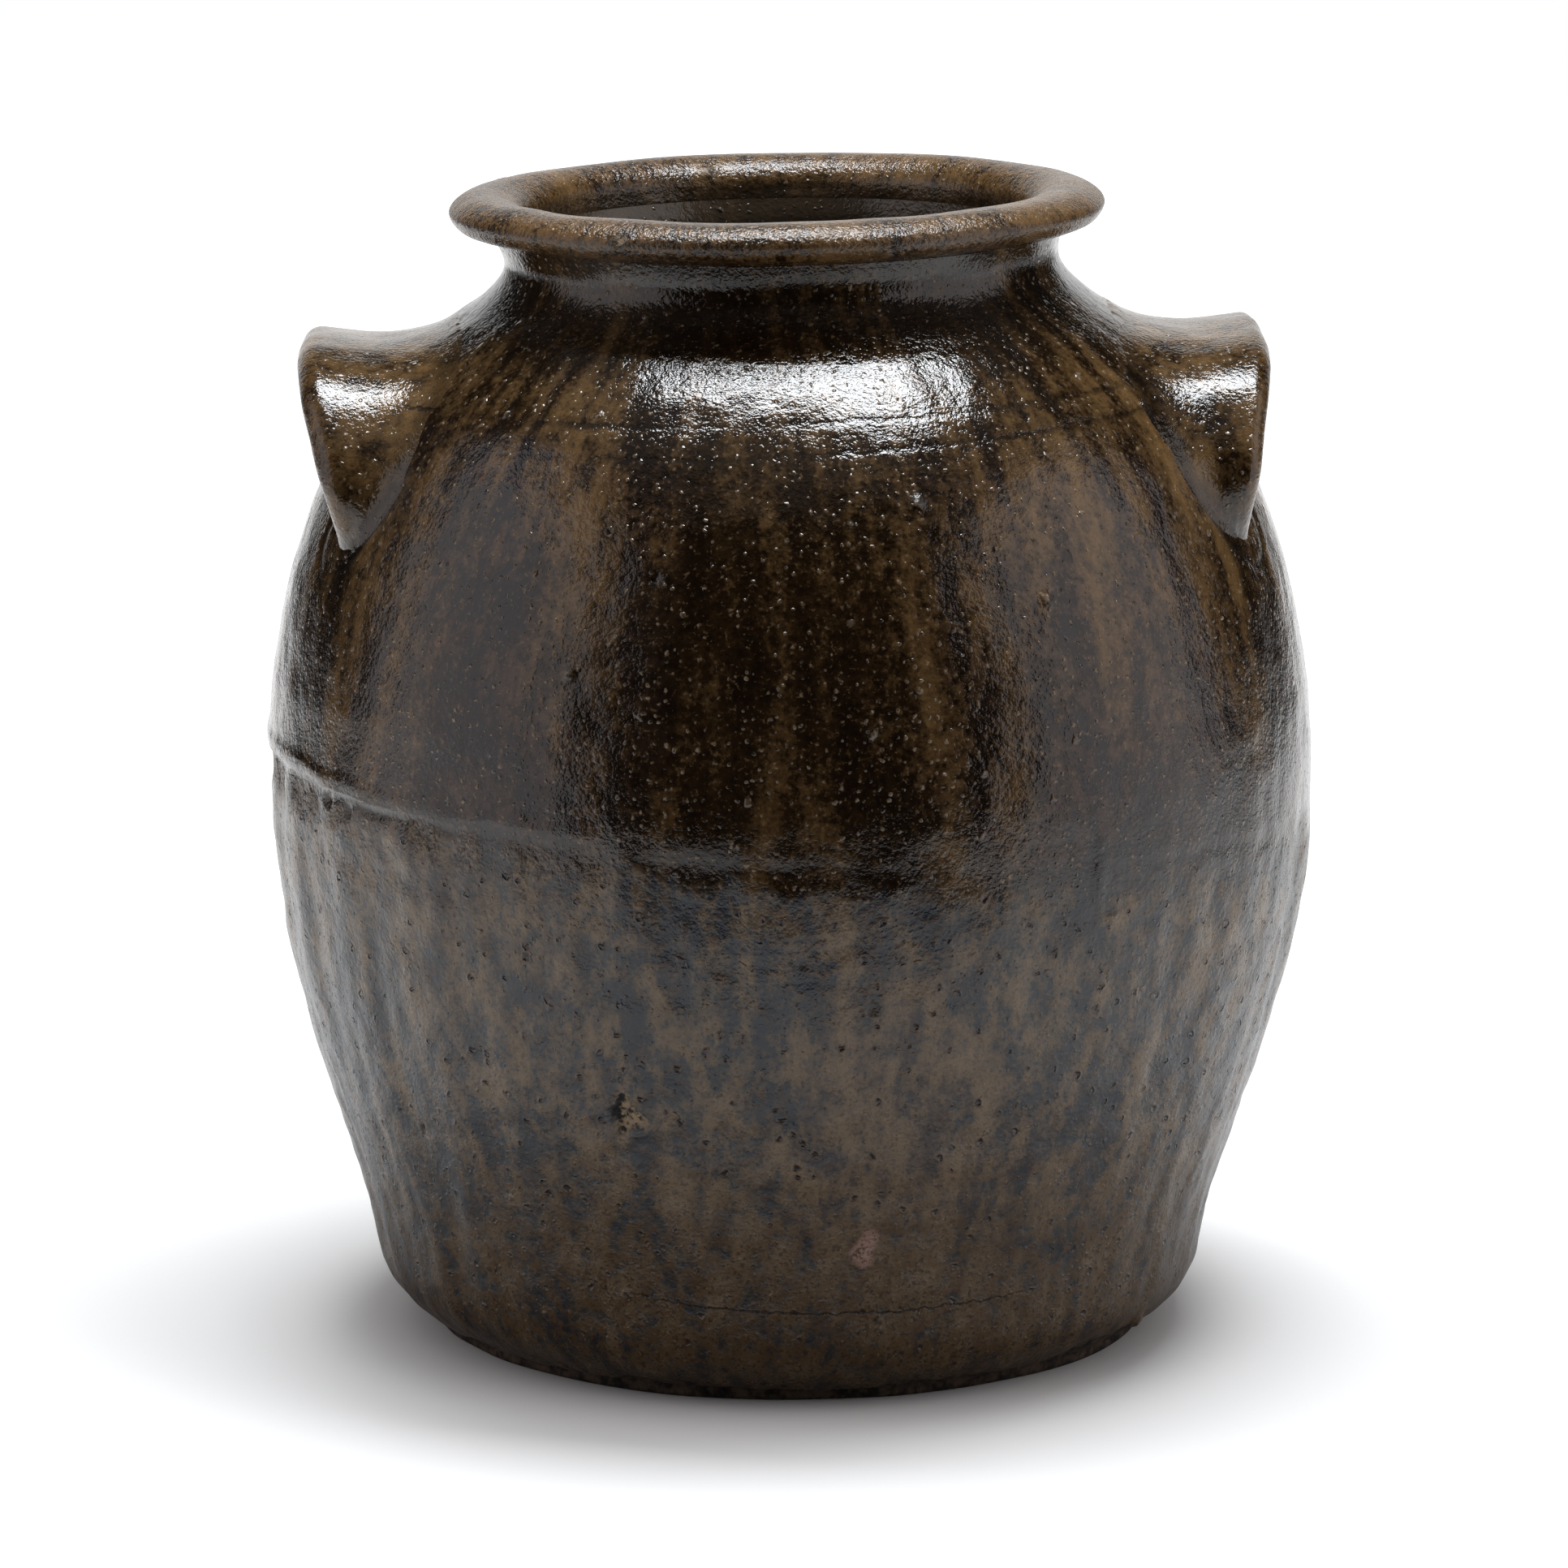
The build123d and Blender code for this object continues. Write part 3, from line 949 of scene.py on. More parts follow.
@dataclass
class NeckAndRim:
    """The neck collar and the rolled rim, which lean and tilt together."""

    body: JarBody
    form: NeckForm
    outer_rows: int = 30
    inner_rows: int = 18
    rim_rows: int = 84
    lumps: RandomSheet = RandomSheet(41, 46, 7.0)
    sway: RandomSheet = RandomSheet(42, 9, 40.0)
    rim_lines: RandomSheet = RandomSheet(43, 5, 2.6)
    lump_depth: float = 0.22
    sway_depth: float = 0.25
    rim_line_depth: float = 0.10
    settle: float = 0.16
    grown: Ramp = Ramp(0.0, 12.0)
    neck_fade: Ramp = Ramp(0.0, 10.0)
    flow_drop: float = 26.0
    flow_knots: int = 4
    rim_start: float = 27.0
    rim_blend: float = 20.0
    seat_fade: Ramp = Ramp(0.0, 3.0)
    worn: float = 0.40
    worn_edges: tuple[Place, ...] = ((0.4, 0.40, 0.14), (0.3, 0.70, 0.12))
    lip_inside: Ramp = Ramp(0.85, 1.0)
    lip_share: float = 0.8
    gilt: float = 0.75
    flaws: ThrownSurface = ThrownSurface(marks=marks_of({
        Flaw.GRIT: ((106.0, 36.0, 5.0, 0.4, 0.7),),
        Flaw.POP_OUT: ((-117.7, 15.0, 2.6, 0.9),),
        Flaw.PIT: ((-70.0, 12.0, 2.2, 0.6), (158.0, 22.0, 2.6, 0.7)),
    }))

    def relief(self, length: Array, start: float) -> Array:
        """Give the relief of neck and rim: lumps and sway that grow from a start.

        Args:
            length: Length along the whole section from the foot.
            start: Length at which it starts.

        Returns:
            Relief.
        """
        bearing = self.body.bearing
        own = self.lump_depth * self.lumps(bearing, length) + self.sway_depth * self.sway(bearing, length)
        return own * self.grown(length - start)

    def neck(self) -> Piece:
        """Make the neck: outside from the shoulder joint to the rim's seat, and its bore.

        Returns:
            The piece.
        """
        form, body = self.form, self.body
        low = body.outside.height[-1]
        flow = np.linspace(low - self.flow_drop, low, self.flow_knots)
        knots = np.stack([body.outside.radius_at(flow), flow], axis=1)
        outline = Meridian.through(np.concatenate([knots, form.rings]))
        start, end = outline.length_at(low), body.outside.length[-1]
        offset = end - start
        length = start + (outline.length[-1] - start) * np.linspace(0, 1, self.outer_rows)[:, None]
        radius, height, out, up = outline.at(length)
        fade = 1 - self.neck_fade(length - start)
        smooth = ring_points(radius, height, body.bearing)
        shared, masks = body.surface.relief(body.bearing, length + offset, smooth)
        relief = shared * fade + self.relief(length + offset, end)
        points = form.placed(ring_points(radius + relief * out, height + relief * up, body.bearing))
        bore_knots = [(body.inside.radius[-1], body.inside.height[-1]), *form.bore]
        bore = smooth_curve(np.array(bore_knots), self.inner_rows)
        inner = form.placed(ring_points(bore[:, :1], bore[:, 1:], body.bearing))
        inner_run = body.run_of(body.inside.length[-1] + bore[:, 1:] - bore[0, 1])
        masks = {key: value * fade for key, value in masks.items()}
        outer = points, body.run_of(length + offset), masks
        return walled("neck", "neck_collar", outer, (inner, inner_run))

    def rim(self) -> Piece:
        """Make the rolled rim: its section carried round, wobbling a little, with fine lines.

        Returns:
            The piece.
        """
        form, body = self.form, self.body
        line = Meridian.through(form.section())
        length = np.linspace(0, line.length[-1], self.rim_rows)[:, None]
        radius, height, out, up = line.at(length)
        offset = body.outside.length[-1] + self.rim_start
        flaws, stain, rough, _ = self.flaws.marked(body.bearing, body.run_of(length))
        relief = self.relief(length + offset, offset - self.rim_blend) + flaws - self.settle
        relief = relief + self.rim_line_depth * self.rim_lines(body.bearing, length)
        relief = relief * self.seat_fade(length) * self.seat_fade(line.length[-1] - length)
        points = ring_points(radius + relief * out, height + relief * up, body.bearing)
        share = length / line.length[-1]
        inside = self.lip_share * self.lip_inside(share) + 0 * body.bearing
        edge = self.worn + sum(rise * hump(share - middle, width) for rise, middle, width in self.worn_edges)
        masks = {
            "worn": np.clip(edge * (1 - inside), 0, 1), "inside": inside, "stain": stain, "rough": rough,
            "gilt": self.gilt + 0 * inside,
        }
        faces = ring_faces(self.rim_rows, body.columns, closed=True)
        run = body.run_of(length + offset)
        return Piece("rim_roll", "rolled_rim", GLAZED, form.placed(points), faces, run, masks)


@dataclass
class LugHandle:
    """One lug handle, with its joint flared and smeared onto the shoulder."""

    form: LugForm
    outside: Meridian
    along: int = 230
    flat_steps: int = 34
    round_steps: int = 20
    flare_top: float = 11.0
    flare_under: float = 6.0
    flare_loss: float = 0.75
    flare_tips: Ramp = Ramp(0.45, 1.0)
    root: float = 4.5
    root_least: float = 1.0
    # The joint's mask: a small groove, and painted shade where the flare meets the body, with glaze that
    # pools there
    joint_groove: float = 0.55
    joint_width: float = 1.7
    joint_shade: float = 0.85
    joint_share: float = 0.55
    joint_turn: float = 0.75
    joint_drop: float = 15.0
    # Painted shade on the strap where it comes close to the body: strength, distance off the body, half width
    crease_shade_strength: float = 0.7
    crease_shade_height: float = 0.4
    crease_shade_width: float = 1.3
    reach_share: float = 0.45
    probe_steps: int = 200
    section_length: float = 120.0
    lump_depth: float = 0.20
    dent_depth: float = 0.35
    edge_width: float = 6.0
    worn: float = 0.08
    worn_edge: float = 0.30
    worn_width: float = 4.0
    worn_fade: Ramp = Ramp(1.0, 7.0)
    lumps: RandomSheet = RandomSheet(51, 30, 8.0)
    dents: RandomSheet = RandomSheet(52, 9, 30.0)
    footprint: Array = field(init=False)

    def __post_init__(self) -> None:
        """Work out where the strap's middle meets the body, as bearings and heights."""
        edge, square, _, _ = self.strap()
        middle, off = self.probed(edge, square)
        met = (off < 0).argmax(axis=1)
        place = self.form.turned(middle[np.arange(self.along), met])
        self.footprint = np.stack([np.arctan2(place[:, 1], place[:, 0]), place[:, 2]], axis=1)

    def probed(self, edge: Array, square: Array) -> tuple[Array, Array]:
        """Step inwards from the free edge and give the places and how far they stand off the body."""
        middle = edge[:, None, :] - square[:, None, :] * self.depths[None, :, None]
        return middle, self.distance(middle)

    @property
    def depths(self) -> Array:
        """Steps inwards from the free edge."""
        return np.linspace(0, self.form.reach * self.reach_share, self.probe_steps)

    def distance(self, places: Array) -> Array:
        """Give how far points stand off the body's smooth outside."""
        on, _, out, _ = self.outside.at(self.outside.length_at(places[..., 2]))
        return (np.hypot(places[..., 0], places[..., 1]) - on) * out

    def strap(self) -> tuple[Array, Array, Array, Array]:
        """Work out the strap's free edge and its directions at each place along the arch.

        The free edge stands half a thickness below the arch's outer line, at the lug's reach less
        its draw. The section's own axes are the outward direction square to the arch, and its up.

        Returns:
            Edge points, outward directions, up directions, and thicknesses.
        """
        form = self.form
        line, thick, draw = form.stations(self.along)
        step = np.gradient(line, axis=0)
        step /= np.linalg.norm(step, axis=1)[:, None]
        zero = np.zeros(self.along)
        on = np.stack([zero, step[:, 0], step[:, 1]], axis=1)
        down = np.stack([zero, step[:, 1], -step[:, 0]], axis=1)
        outer = np.stack([form.reach - draw, line[:, 0], form.crown_height + line[:, 1]], axis=1)
        edge = outer + down * thick[:, None] / 2
        lift = math.radians(form.lift_degrees)
        outwards = np.array([math.cos(lift), 0.0, math.sin(lift)])
        square = outwards - on * (on @ outwards)[:, None]
        square /= np.linalg.norm(square, axis=1)[:, None]
        return edge, square, np.cross(square, on), thick

    def joint_mask(self, bearing: Array, place: Array) -> Array:
        """Mark the body where the strap's flare ends: painted shade in the corner there, with dark glaze that
        pools.

        Args:
            bearing: Bearings of the columns, in radians.
            place: Points on the body.

        Returns:
            Mask from 0 to 1.
        """
        radius = np.hypot(place[..., 0], place[..., 1])
        mask = np.zeros(radius.shape)
        columns = np.abs(turn_from(bearing, self.form.bearing))[0] < self.joint_turn
        rows = place[:, 0, 2] > self.footprint[:, 1].min() - self.joint_drop
        if not rows.any():
            return mask
        where = np.ix_(rows, columns)
        turn = turn_from(bearing[0][columns][None, :, None], self.footprint[None, None, :, 0])
        across = radius[where][..., None] * turn
        up = place[..., 2][where][..., None] - self.footprint[None, None, :, 1]
        away = np.sqrt(np.min(np.square(across) + np.square(up), axis=2))
        edge = self.form.thickness / 2 + self.flare_under * self.joint_share
        mask[where] = self.joint_shade * hump(away - edge, self.joint_width)
        return mask

    def inward(self) -> tuple[Array, Array]:
        """Lay out the strap's section at each place along the arch.

        It runs from the root in the wall out along the top, round the free edge and back
        underneath. The free edge is half an oval.

        Returns:
            Distances in from the free edge, and heights above the strap's middle.
        """
        edge, square, _, thick = self.strap()
        sunk = self.probed(edge, square)[1] < -self.root
        first = np.where(sunk.any(axis=1), sunk.argmax(axis=1), -1)
        rounded = self.form.edge_round
        root = np.maximum(self.depths[first], rounded + self.root_least)[:, None]
        half = thick[:, None] / 2
        bend = np.linspace(0.5, -0.5, self.round_steps + 1)[None, :] * math.pi
        top = root + (rounded - root) * np.linspace(0, 1, self.flat_steps, endpoint=False)[None, :]
        inward = np.concatenate([top, rounded * (1 - np.cos(bend)) + 0 * half, top[:, ::-1]], axis=1)
        return inward, np.concatenate([half + 0 * top, half * np.sin(bend), -half + 0 * top], axis=1)

    def flared(self, place: Array, rise: Array, up: Array, half: Array) -> Array:
        """Spread the strap where it meets the body, as clay smeared on with a thumb.

        A point near the body slides along the body's surface, away from the strap's middle, by the
        fillet less the root of its square less the square of what is left of the way.

        Args:
            place: Points of the strap.
            rise: Their heights above the strap's middle.
            up: The section's up direction at each place along the arch.
            half: Half the strap's thickness at each.

        Returns:
            The moved points.
        """
        from_crown = np.abs(np.linspace(-1, 1, self.along))[:, None]
        fillet = np.where(rise > 0, self.flare_top, self.flare_under)
        fillet = fillet * (1 - self.flare_loss * self.flare_tips(from_crown))
        left = np.clip(fillet - np.maximum(self.distance(place), 0), 0, None)
        swell = (fillet - np.sqrt(np.maximum(fillet**2 - left**2, 0))) * np.abs(rise) / half
        away = np.sign(rise)[..., None] * up[:, None, :]
        normal = self.normal(place)
        along = away - normal * np.sum(away * normal, axis=-1, keepdims=True)
        along /= np.maximum(np.linalg.norm(along, axis=-1, keepdims=True), MM)
        return place + along * swell[..., None]

    def normal(self, places: Array) -> Array:
        """Give the body's outward normal at the level and bearing of points.

        Args:
            places: Points near the body.

        Returns:
            Normals, one a point.
        """
        bearing = np.arctan2(places[..., 1], places[..., 0])
        _, _, out, up = self.outside.at(self.outside.length_at(places[..., 2]))
        return np.stack([out * np.cos(bearing), out * np.sin(bearing), up], axis=-1)

    def build(self) -> Piece:
        """Make the lug: its strap section carried along the arch, with closed tips.

        Returns:
            The piece.
        """
        edge, square, up, thick = self.strap()
        inward, rise = self.inward()
        half = thick[:, None] / 2
        place = edge[:, None, :] - square[:, None, :] * inward[..., None] + up[:, None, :] * rise[..., None]
        place = self.flared(place, rise, up, half)
        turn = np.linspace(0, TURN, self.along)[:, None]
        across = np.linspace(0, self.section_length, place.shape[1])[None, :]
        lump = self.lump_depth * self.lumps(turn, across) + self.dent_depth * self.dents(turn, across)
        place = place + up[:, None, :] * (rise / half * lump)[..., None]
        sunk = (lump - self.dent_depth) * hump(inward, self.edge_width)
        places = self.form.turned(place + square[:, None, :] * sunk[..., None])
        off = self.distance(places)
        masks = {
            "worn": (self.worn + self.worn_edge * hump(inward, self.worn_width)) * self.worn_fade(off),
            # Painted shade on the strap close to the body
            "crease_shade_and_pooling": self.crease_shade_strength * hump(off - self.crease_shade_height, self.crease_shade_width),
            "gilt": 1 + 0 * off,
        }
        points = np.concatenate([places.reshape(-1, 3), places[:1].mean(axis=1), places[-1:].mean(axis=1)])
        masks = {name: np.append(value, [0, 0]) for name, value in masks.items()}
        quads, fans = ring_faces(*places.shape[:2], closed=False), pole_faces(*places.shape[:2])
        side = self.form.side.name.lower()
        return Piece(f"lug_{side}", f"lug_handle_{side}", GLAZED, points, quads, points, masks, fans)


def term(kind: str, first: bool = True) -> Callable[["Number", "Number | float"], "Number"]:
    """Make an operator that adds a Math node of a kind.

    Args:
        kind: Operation of the Math node.
        first: Whether the operator's own number is the first term.

    Returns:
        The operator.
    """
    def combined(self: "Number", other: "Number | float") -> "Number":
        """Add the Math node on both terms."""
        return self.tree.math(kind, *((self, other) if first else (other, self)))
    return combined


@dataclass(frozen=True)
class Number:
    """A number socket in a finish's node tree, for use in sums."""

    tree: "NodeSheet"
    socket: bpy.types.NodeSocket

    __add__ = __radd__ = term("ADD")
    __sub__, __rsub__ = term("SUBTRACT"), term("SUBTRACT", first=False)
    __mul__ = __rmul__ = term("MULTIPLY")
    __truediv__, __pow__ = term("DIVIDE"), term("POWER")
    most, least = term("MAXIMUM"), term("MINIMUM")

    def __abs__(self) -> "Number":
        """Drop the sign."""
        return self.tree.math("ABSOLUTE", self)


class NodeSheet:
    """A finish's node tree and the few ways in which this scene adds to it."""

    def __init__(self, tree: bpy.types.NodeTree) -> None:
        """Take the node tree of a material or world, and empty it."""
        self.tree = tree
        tree.nodes.clear()

    def add(self, kind: str, settings: dict | None = None, inputs: dict | None = None) -> bpy.types.Node:
        """Add any node: its settings first, then the values or links of its sockets.

        Args:
            kind: Node type.
            settings: Attributes of the node by name.
            inputs: Values, colours, sockets or numbers by socket name or place.

        Returns:
            The node.
        """
        node = self.tree.nodes.new(kind)
        for key, value in (settings or {}).items():
            setattr(node, key, value)
        for key, value in (inputs or {}).items():
            self.feed(node.inputs[key], value)
        return node

    def feed(self, socket: bpy.types.NodeSocket, value: object) -> None:
        """Link a number or socket to a socket, or set its plain value.

        Args:
            socket: Socket of a node.
            value: Number, socket or plain value for it.
        """
        source = value.socket if isinstance(value, Number) else value
        if isinstance(source, bpy.types.NodeSocket):
            self.tree.links.new(source, socket)
        else:
            socket.default_value = source

    def number(self, kind: str, settings: dict | None, inputs: dict, output: str | int) -> Number:
        """Add a node and take one of its outputs as a number."""
        return Number(self, self.add(kind, settings, inputs).outputs[output])

    def math(self, kind: str, *terms: "Number | float") -> Number:
        """Add a Math node on terms."""
        return self.number("ShaderNodeMath", {"operation": kind}, dict(enumerate(terms)), 0)

    def split(self, vector: bpy.types.NodeSocket) -> list[Number]:
        """Take a vector's three parts as numbers."""
        node = self.add("ShaderNodeSeparateXYZ", {}, {0: vector})
        return [Number(self, socket) for socket in node.outputs]

    def vector(self, kind: str, *terms: object) -> bpy.types.NodeSocket:
        """Add a Vector Math node on terms."""
        return self.add("ShaderNodeVectorMath", {"operation": kind}, dict(enumerate(terms))).outputs[0]

    def noise(
        self, vector: bpy.types.NodeSocket, size: float, detail: float, rough: float = 0.5
    ) -> bpy.types.Node:
        """Add noise on coordinates in metres, whose largest lumps are about size millimetres across."""
        inputs = {"Vector": vector, "Scale": 1 / (size * MM), "Detail": detail, "Roughness": rough}
        return self.add("ShaderNodeTexNoise", {}, inputs)

    def blend(self, share: Number | float, under: object, over: object) -> bpy.types.NodeSocket:
        """Mix two colours.

        Args:
            share: How much of the upper colour shows, from 0 to 1.
            under: Colour or socket below.
            over: Colour or socket above.

        Returns:
            The mixed colour.
        """
        node = self.add("ShaderNodeMix", {"data_type": "RGBA"})
        for key, value in (("Factor", share), ("A", under), ("B", over)):
            fits = "VALUE" if key == "Factor" else "RGBA"
            self.feed(next(s for s in node.inputs if s.name == key and s.type == fits), value)
        return next(s for s in node.outputs if s.type == "RGBA")


@dataclass(frozen=True)
class Scatter:
    """Grains or pits in the glaze: their spacing, how they are pushed about and how many show."""

    spacing: float
    push_size: float
    push: float
    core: Ramp
    halo: Ramp
    drawn: Ramp
    spread: float = 0.0
    least: float = 1.0

    def masks(self, sheet: NodeSheet, place: bpy.types.NodeSocket) -> tuple[Number, Number]:
        """Scatter the grains: each is a disc about a random point, its size a random draw.

        Args:
            sheet: Node tree of the finish.
            place: Coordinates in metres.

        Returns:
            Masks of the grains and of their wider rings.
        """
        shift = sheet.noise(place, self.push_size, 1.0).outputs["Color"]
        moved = sheet.vector("MULTIPLY_ADD", shift, (self.push * MM,) * 3, place)
        node = sheet.add("ShaderNodeTexVoronoi", {}, {"Vector": moved, "Scale": 1 / (self.spacing * MM)})
        draw = sheet.number("ShaderNodeSeparateColor", {}, {"Color": node.outputs["Color"]}, 0)
        near = Number(sheet, node.outputs["Distance"]) / (draw * self.spread + self.least)
        return tuple(edge.of(near, 1.0, 0.0) * self.drawn.of(draw) for edge in (self.core, self.halo))


@dataclass(frozen=True)
class Veil:
    """A thin coat of one colour, laid where a weighted sum of layers passes a ramp.

    Its share is base plus gain times the ramped sum, or the plain sum without a ramp, times the
    product of the layers in over. A name with * in it stands for a product of layers.
    """

    colour: str
    mix: dict[str, float]
    ramp: Ramp | None = None
    gain: float = 1.0
    base: float = 0.0
    over: str = ""


class Layers(dict[str, Number]):
    """Numbers of a finish by name."""

    def product(self, names: str) -> Number:
        """Multiply the layers whose names are joined by *."""
        return reduce(mul, (self[name] for name in names.split("*")))

    def total(self, mix: dict[str, float]) -> Number:
        """Add up products of layers, each by its weight."""
        parts = ((self.product(names), weight) for names, weight in mix.items())
        return reduce(add, (part if weight == 1 else part * weight for part, weight in parts))

    def lay(self, veil: Veil, under: object, over: object) -> bpy.types.NodeSocket:
        """Lay a veil over a colour.

        Args:
            veil: The veil.
            under: Colour below it.
            over: Its own colour.

        Returns:
            The mixed colour.
        """
        share = self.total(veil.mix)
        if veil.ramp:
            share = veil.ramp.of(share, veil.base, veil.base + veil.gain)
        if veil.over:
            share = share * self.product(veil.over)
        return share.tree.blend(share, under, over)


@dataclass(frozen=True)
class RunnyGlaze:
    """The olive-brown glaze: dark where it lies thick, golden in runs, clouded below the belly.

    Each noise has a stretch up the run (0 for one on plain places), a size, detail and roughness.
    """

    dark: Colour = (0.0065, 0.0030, 0.0009, 1)
    brown: Colour = (0.022, 0.0110, 0.0036, 1)
    gold: Colour = (0.128, 0.073, 0.028, 1)
    dusk: Colour = (0.0360, 0.0205, 0.0160, 1)
    ink: Colour = (0.0080, 0.0085, 0.0120, 1)
    slate: Colour = (0.0085, 0.0120, 0.0175, 1)
    plum: Colour = (0.024, 0.0135, 0.0100, 1)
    olive: Colour = (0.122, 0.080, 0.041, 1)
    sand: Colour = (0.072, 0.036, 0.009, 1)
    rubbed: Colour = (0.125, 0.066, 0.024, 1)
    blush: Colour = (0.27, 0.155, 0.130, 1)
    speck: Colour = (0.19, 0.130, 0.075, 1)
    # Near-black: glaze that pools, pits, and painted shade in creases, grooves and joints
    pool_and_shade: Colour = (0.004, 0.0022, 0.0012, 1)
    rust: Colour = (0.030, 0.010, 0.005, 1)
    clay: Colour = (0.075, 0.048, 0.030, 1)
    pale: Colour = (0.26, 0.19, 0.12, 1)
    inner: Colour = (0.060, 0.043, 0.028, 1)
    noises: tuple[tuple[str, float, float, float, float], ...] = (
        ("cloud", 0.50, 8.0, 4.0, 0.62), ("streak", 0.15, 9.0, 3.0, 0.55), ("broad", 0.40, 42.0, 1.0, 0.5),
        ("mottle", 0.0, 3.2, 3.0, 0.6), ("fine", 0.0, 1.2, 2.0, 0.6), ("swell", 0.0, 6.0, 2.0, 0.55),
    )
    grit: Scatter = Scatter(2.0, 1.6, 1.3, Ramp(0.08, 0.26), Ramp(0.13, 0.31), Ramp(0.30, 0.55), 0.9, 0.45)
    stones: Scatter = Scatter(8.5, 3.0, 3.0, Ramp(0.04, 0.15), Ramp(0.04, 0.15), Ramp(0.5, 0.7))
    pins: Scatter = Scatter(5.0, 2.2, 2.2, Ramp(0.05, 0.20), Ramp(0.12, 0.32), Ramp(0.15, 0.40), 0.9, 0.4)
    # How often pits show, and how strongly each layer counts where layers are joined
    pins_above: float = 0.16
    pins_warm_loss: float = 0.3
    glint: Ramp = Ramp(0.36, 0.62)
    dust: Ramp = Ramp(0.60, 0.74)
    speckle: tuple[float, float, float] = (0.62, 0.30, 0.35)
    speckle_losses: Point = (0.82, 0.6)
    # Weights of the painted shade in creases and of the pit cores in the near-black coat
    pooled_and_shade: tuple[float, float] = (0.85, 0.9)
    dusty: float = 0.8
    crack_and_groove_shade: Point = (0.8, 0.85)
    # Mixed colours, each a name, a ground and a veil, then the coats in the order of laying
    mixed: tuple[tuple[str, str, Veil], ...] = (
        ("burnt", "brown", Veil("gold", {"fine": 1}, Ramp(0.46, 0.62))),
        ("porous", "pool_and_shade", Veil("pale", {"mottle": 0.6, "fine": 0.4}, Ramp(0.44, 0.56))),
        ("dry_clay", "clay", Veil("pool_and_shade", {"mottle": 1}, Ramp(0.35, 0.65))),
    )
    upper_veils: tuple[Veil, ...] = (
        Veil("brown", {"streak": 0.40, "mottle": 0.35, "fine": 0.25}, Ramp(0.40, 0.60)),
        Veil("dusk", {"cloud": 0.5, "mottle": 0.5}, Ramp(0.45, 0.58), over="flank"),
        Veil("ink", {"broad": 0.4, "cloud": 0.6}, Ramp(0.52, 0.44), 0.8, over="flank"),
        Veil("gold", {
            "streak": 0.40, "cloud": 0.22, "mottle": 0.20, "fine": 0.18, "broad": 0.25, "gilt": 0.10,
        }, Ramp(0.615, 0.845)),
        Veil("dark", {"fine": 1}, Ramp(0.52, 0.68), 0.6, over="gilt"),
    )
    lower_veils: tuple[Veil, ...] = (
        Veil("plum", {"mottle": 0.50, "cloud": 0.20, "broad": 0.30}, Ramp(0.45, 0.55)),
        Veil("olive", {
            "streak": 0.18, "cloud": 0.46, "mottle": 0.12, "fine": 0.24, "broad": 0.10, "warm": 0.03,
        }, Ramp(0.505, 0.64)),
        Veil("plum", {"fine": 1}, Ramp(0.52, 0.66), 0.6),
        Veil("sand", {"mottle": 1}, Ramp(0.38, 0.62), 0.75, 0.05, "warm"),
        Veil("pool_and_shade", {"fine": 1}, Ramp(0.50, 0.66), 0.6, over="warm"),
    )
    last_veils: tuple[Veil, ...] = (
        Veil("speck", {"speckled": 1}),
        Veil("burnt", {"mottle": 1}, Ramp(0.42, 0.58), 0.5, 0.5, "spill"),
        Veil("rust", {"cloud": 1}, Ramp(0.45, 0.60), 0.6, 0.25, "ring"),
        # Pits, and painted shade under the joint's ridge, along the incised grooves and where the lugs meet
        # the body
        Veil("pool_and_shade", {"pooled_and_shade": 1}),
        Veil("rubbed", {"mottle": 0.4, "fine": 0.6}, Ramp(0.44, 0.58), 0.92, 0.08, "worn"),
        Veil("inner", {"inside": 0.75}),
        Veil("porous", {"stain": 0.9}),
        Veil("blush", {"fine": 1}, Ramp(0.38, 0.56), 0.9, over="blush"),
        Veil("dry_clay", {"bare": 1}),
        # The hairline, and painted shade along the incised lines
        Veil("pool_and_shade", {"crack_and_groove_shade": 1}),
    )
    # Weights of the layers in the relief, in millimetres, and in the dullness
    bumps: dict[str, float] = field(default_factory=lambda: {
        "swell": 0.12, "mottle": 0.16, "mottle*low": 0.16, "fine": 0.17, "grit": 0.15, "stones": 0.28,
        "cut": -0.07, "pin": -0.46, "ring": 0.14, "streak": 0.08, "cloud*low": 0.12, "spill*mottle": 2.0,
        "bare*mottle": 0.8, "stain*mottle": 1.4, "worn*fine": 0.45, "crack": -0.3,
    })
    gloss: float = 0.035
    dull: dict[str, float] = field(default_factory=lambda: {
        "low": 0.175, "mottle": 0.10, "halo": 0.10, "dusty": 0.765, "inside": 0.10, "worn": 0.24,
        "warm": -0.08, "spill": 0.30,
    })
    glossiest: float = 0.05
    ior: float = 1.5
    # Hairline above the foot, and painted shade along the incised lines
    crack_height: float = 27.6
    crack_middle: float = 22.0
    crack_bow: float = 0.0009
    crack_wander: float = 3.0
    crack_edge: Ramp = Ramp(0.38, 0.08)
    crack_ends: tuple[Ramp, Ramp] = (Ramp(-46.0, -34.0), Ramp(66.0, 48.0))
    crack_front: Ramp = Ramp(-10.0, -30.0)
    cut_lines: tuple[Point, ...] = tuple(zip(ThrownSurface.line_heights, ThrownSurface.line_slopes))
    cut_wander: float = 3.6
    cut_edge: Ramp = Ramp(0.95, 0.15)
    cut_reach: Ramp = Ramp(113.0, 111.0)
    cut_breaks: Ramp = Ramp(0.42, 0.56)
    cut_share: float = 0.35

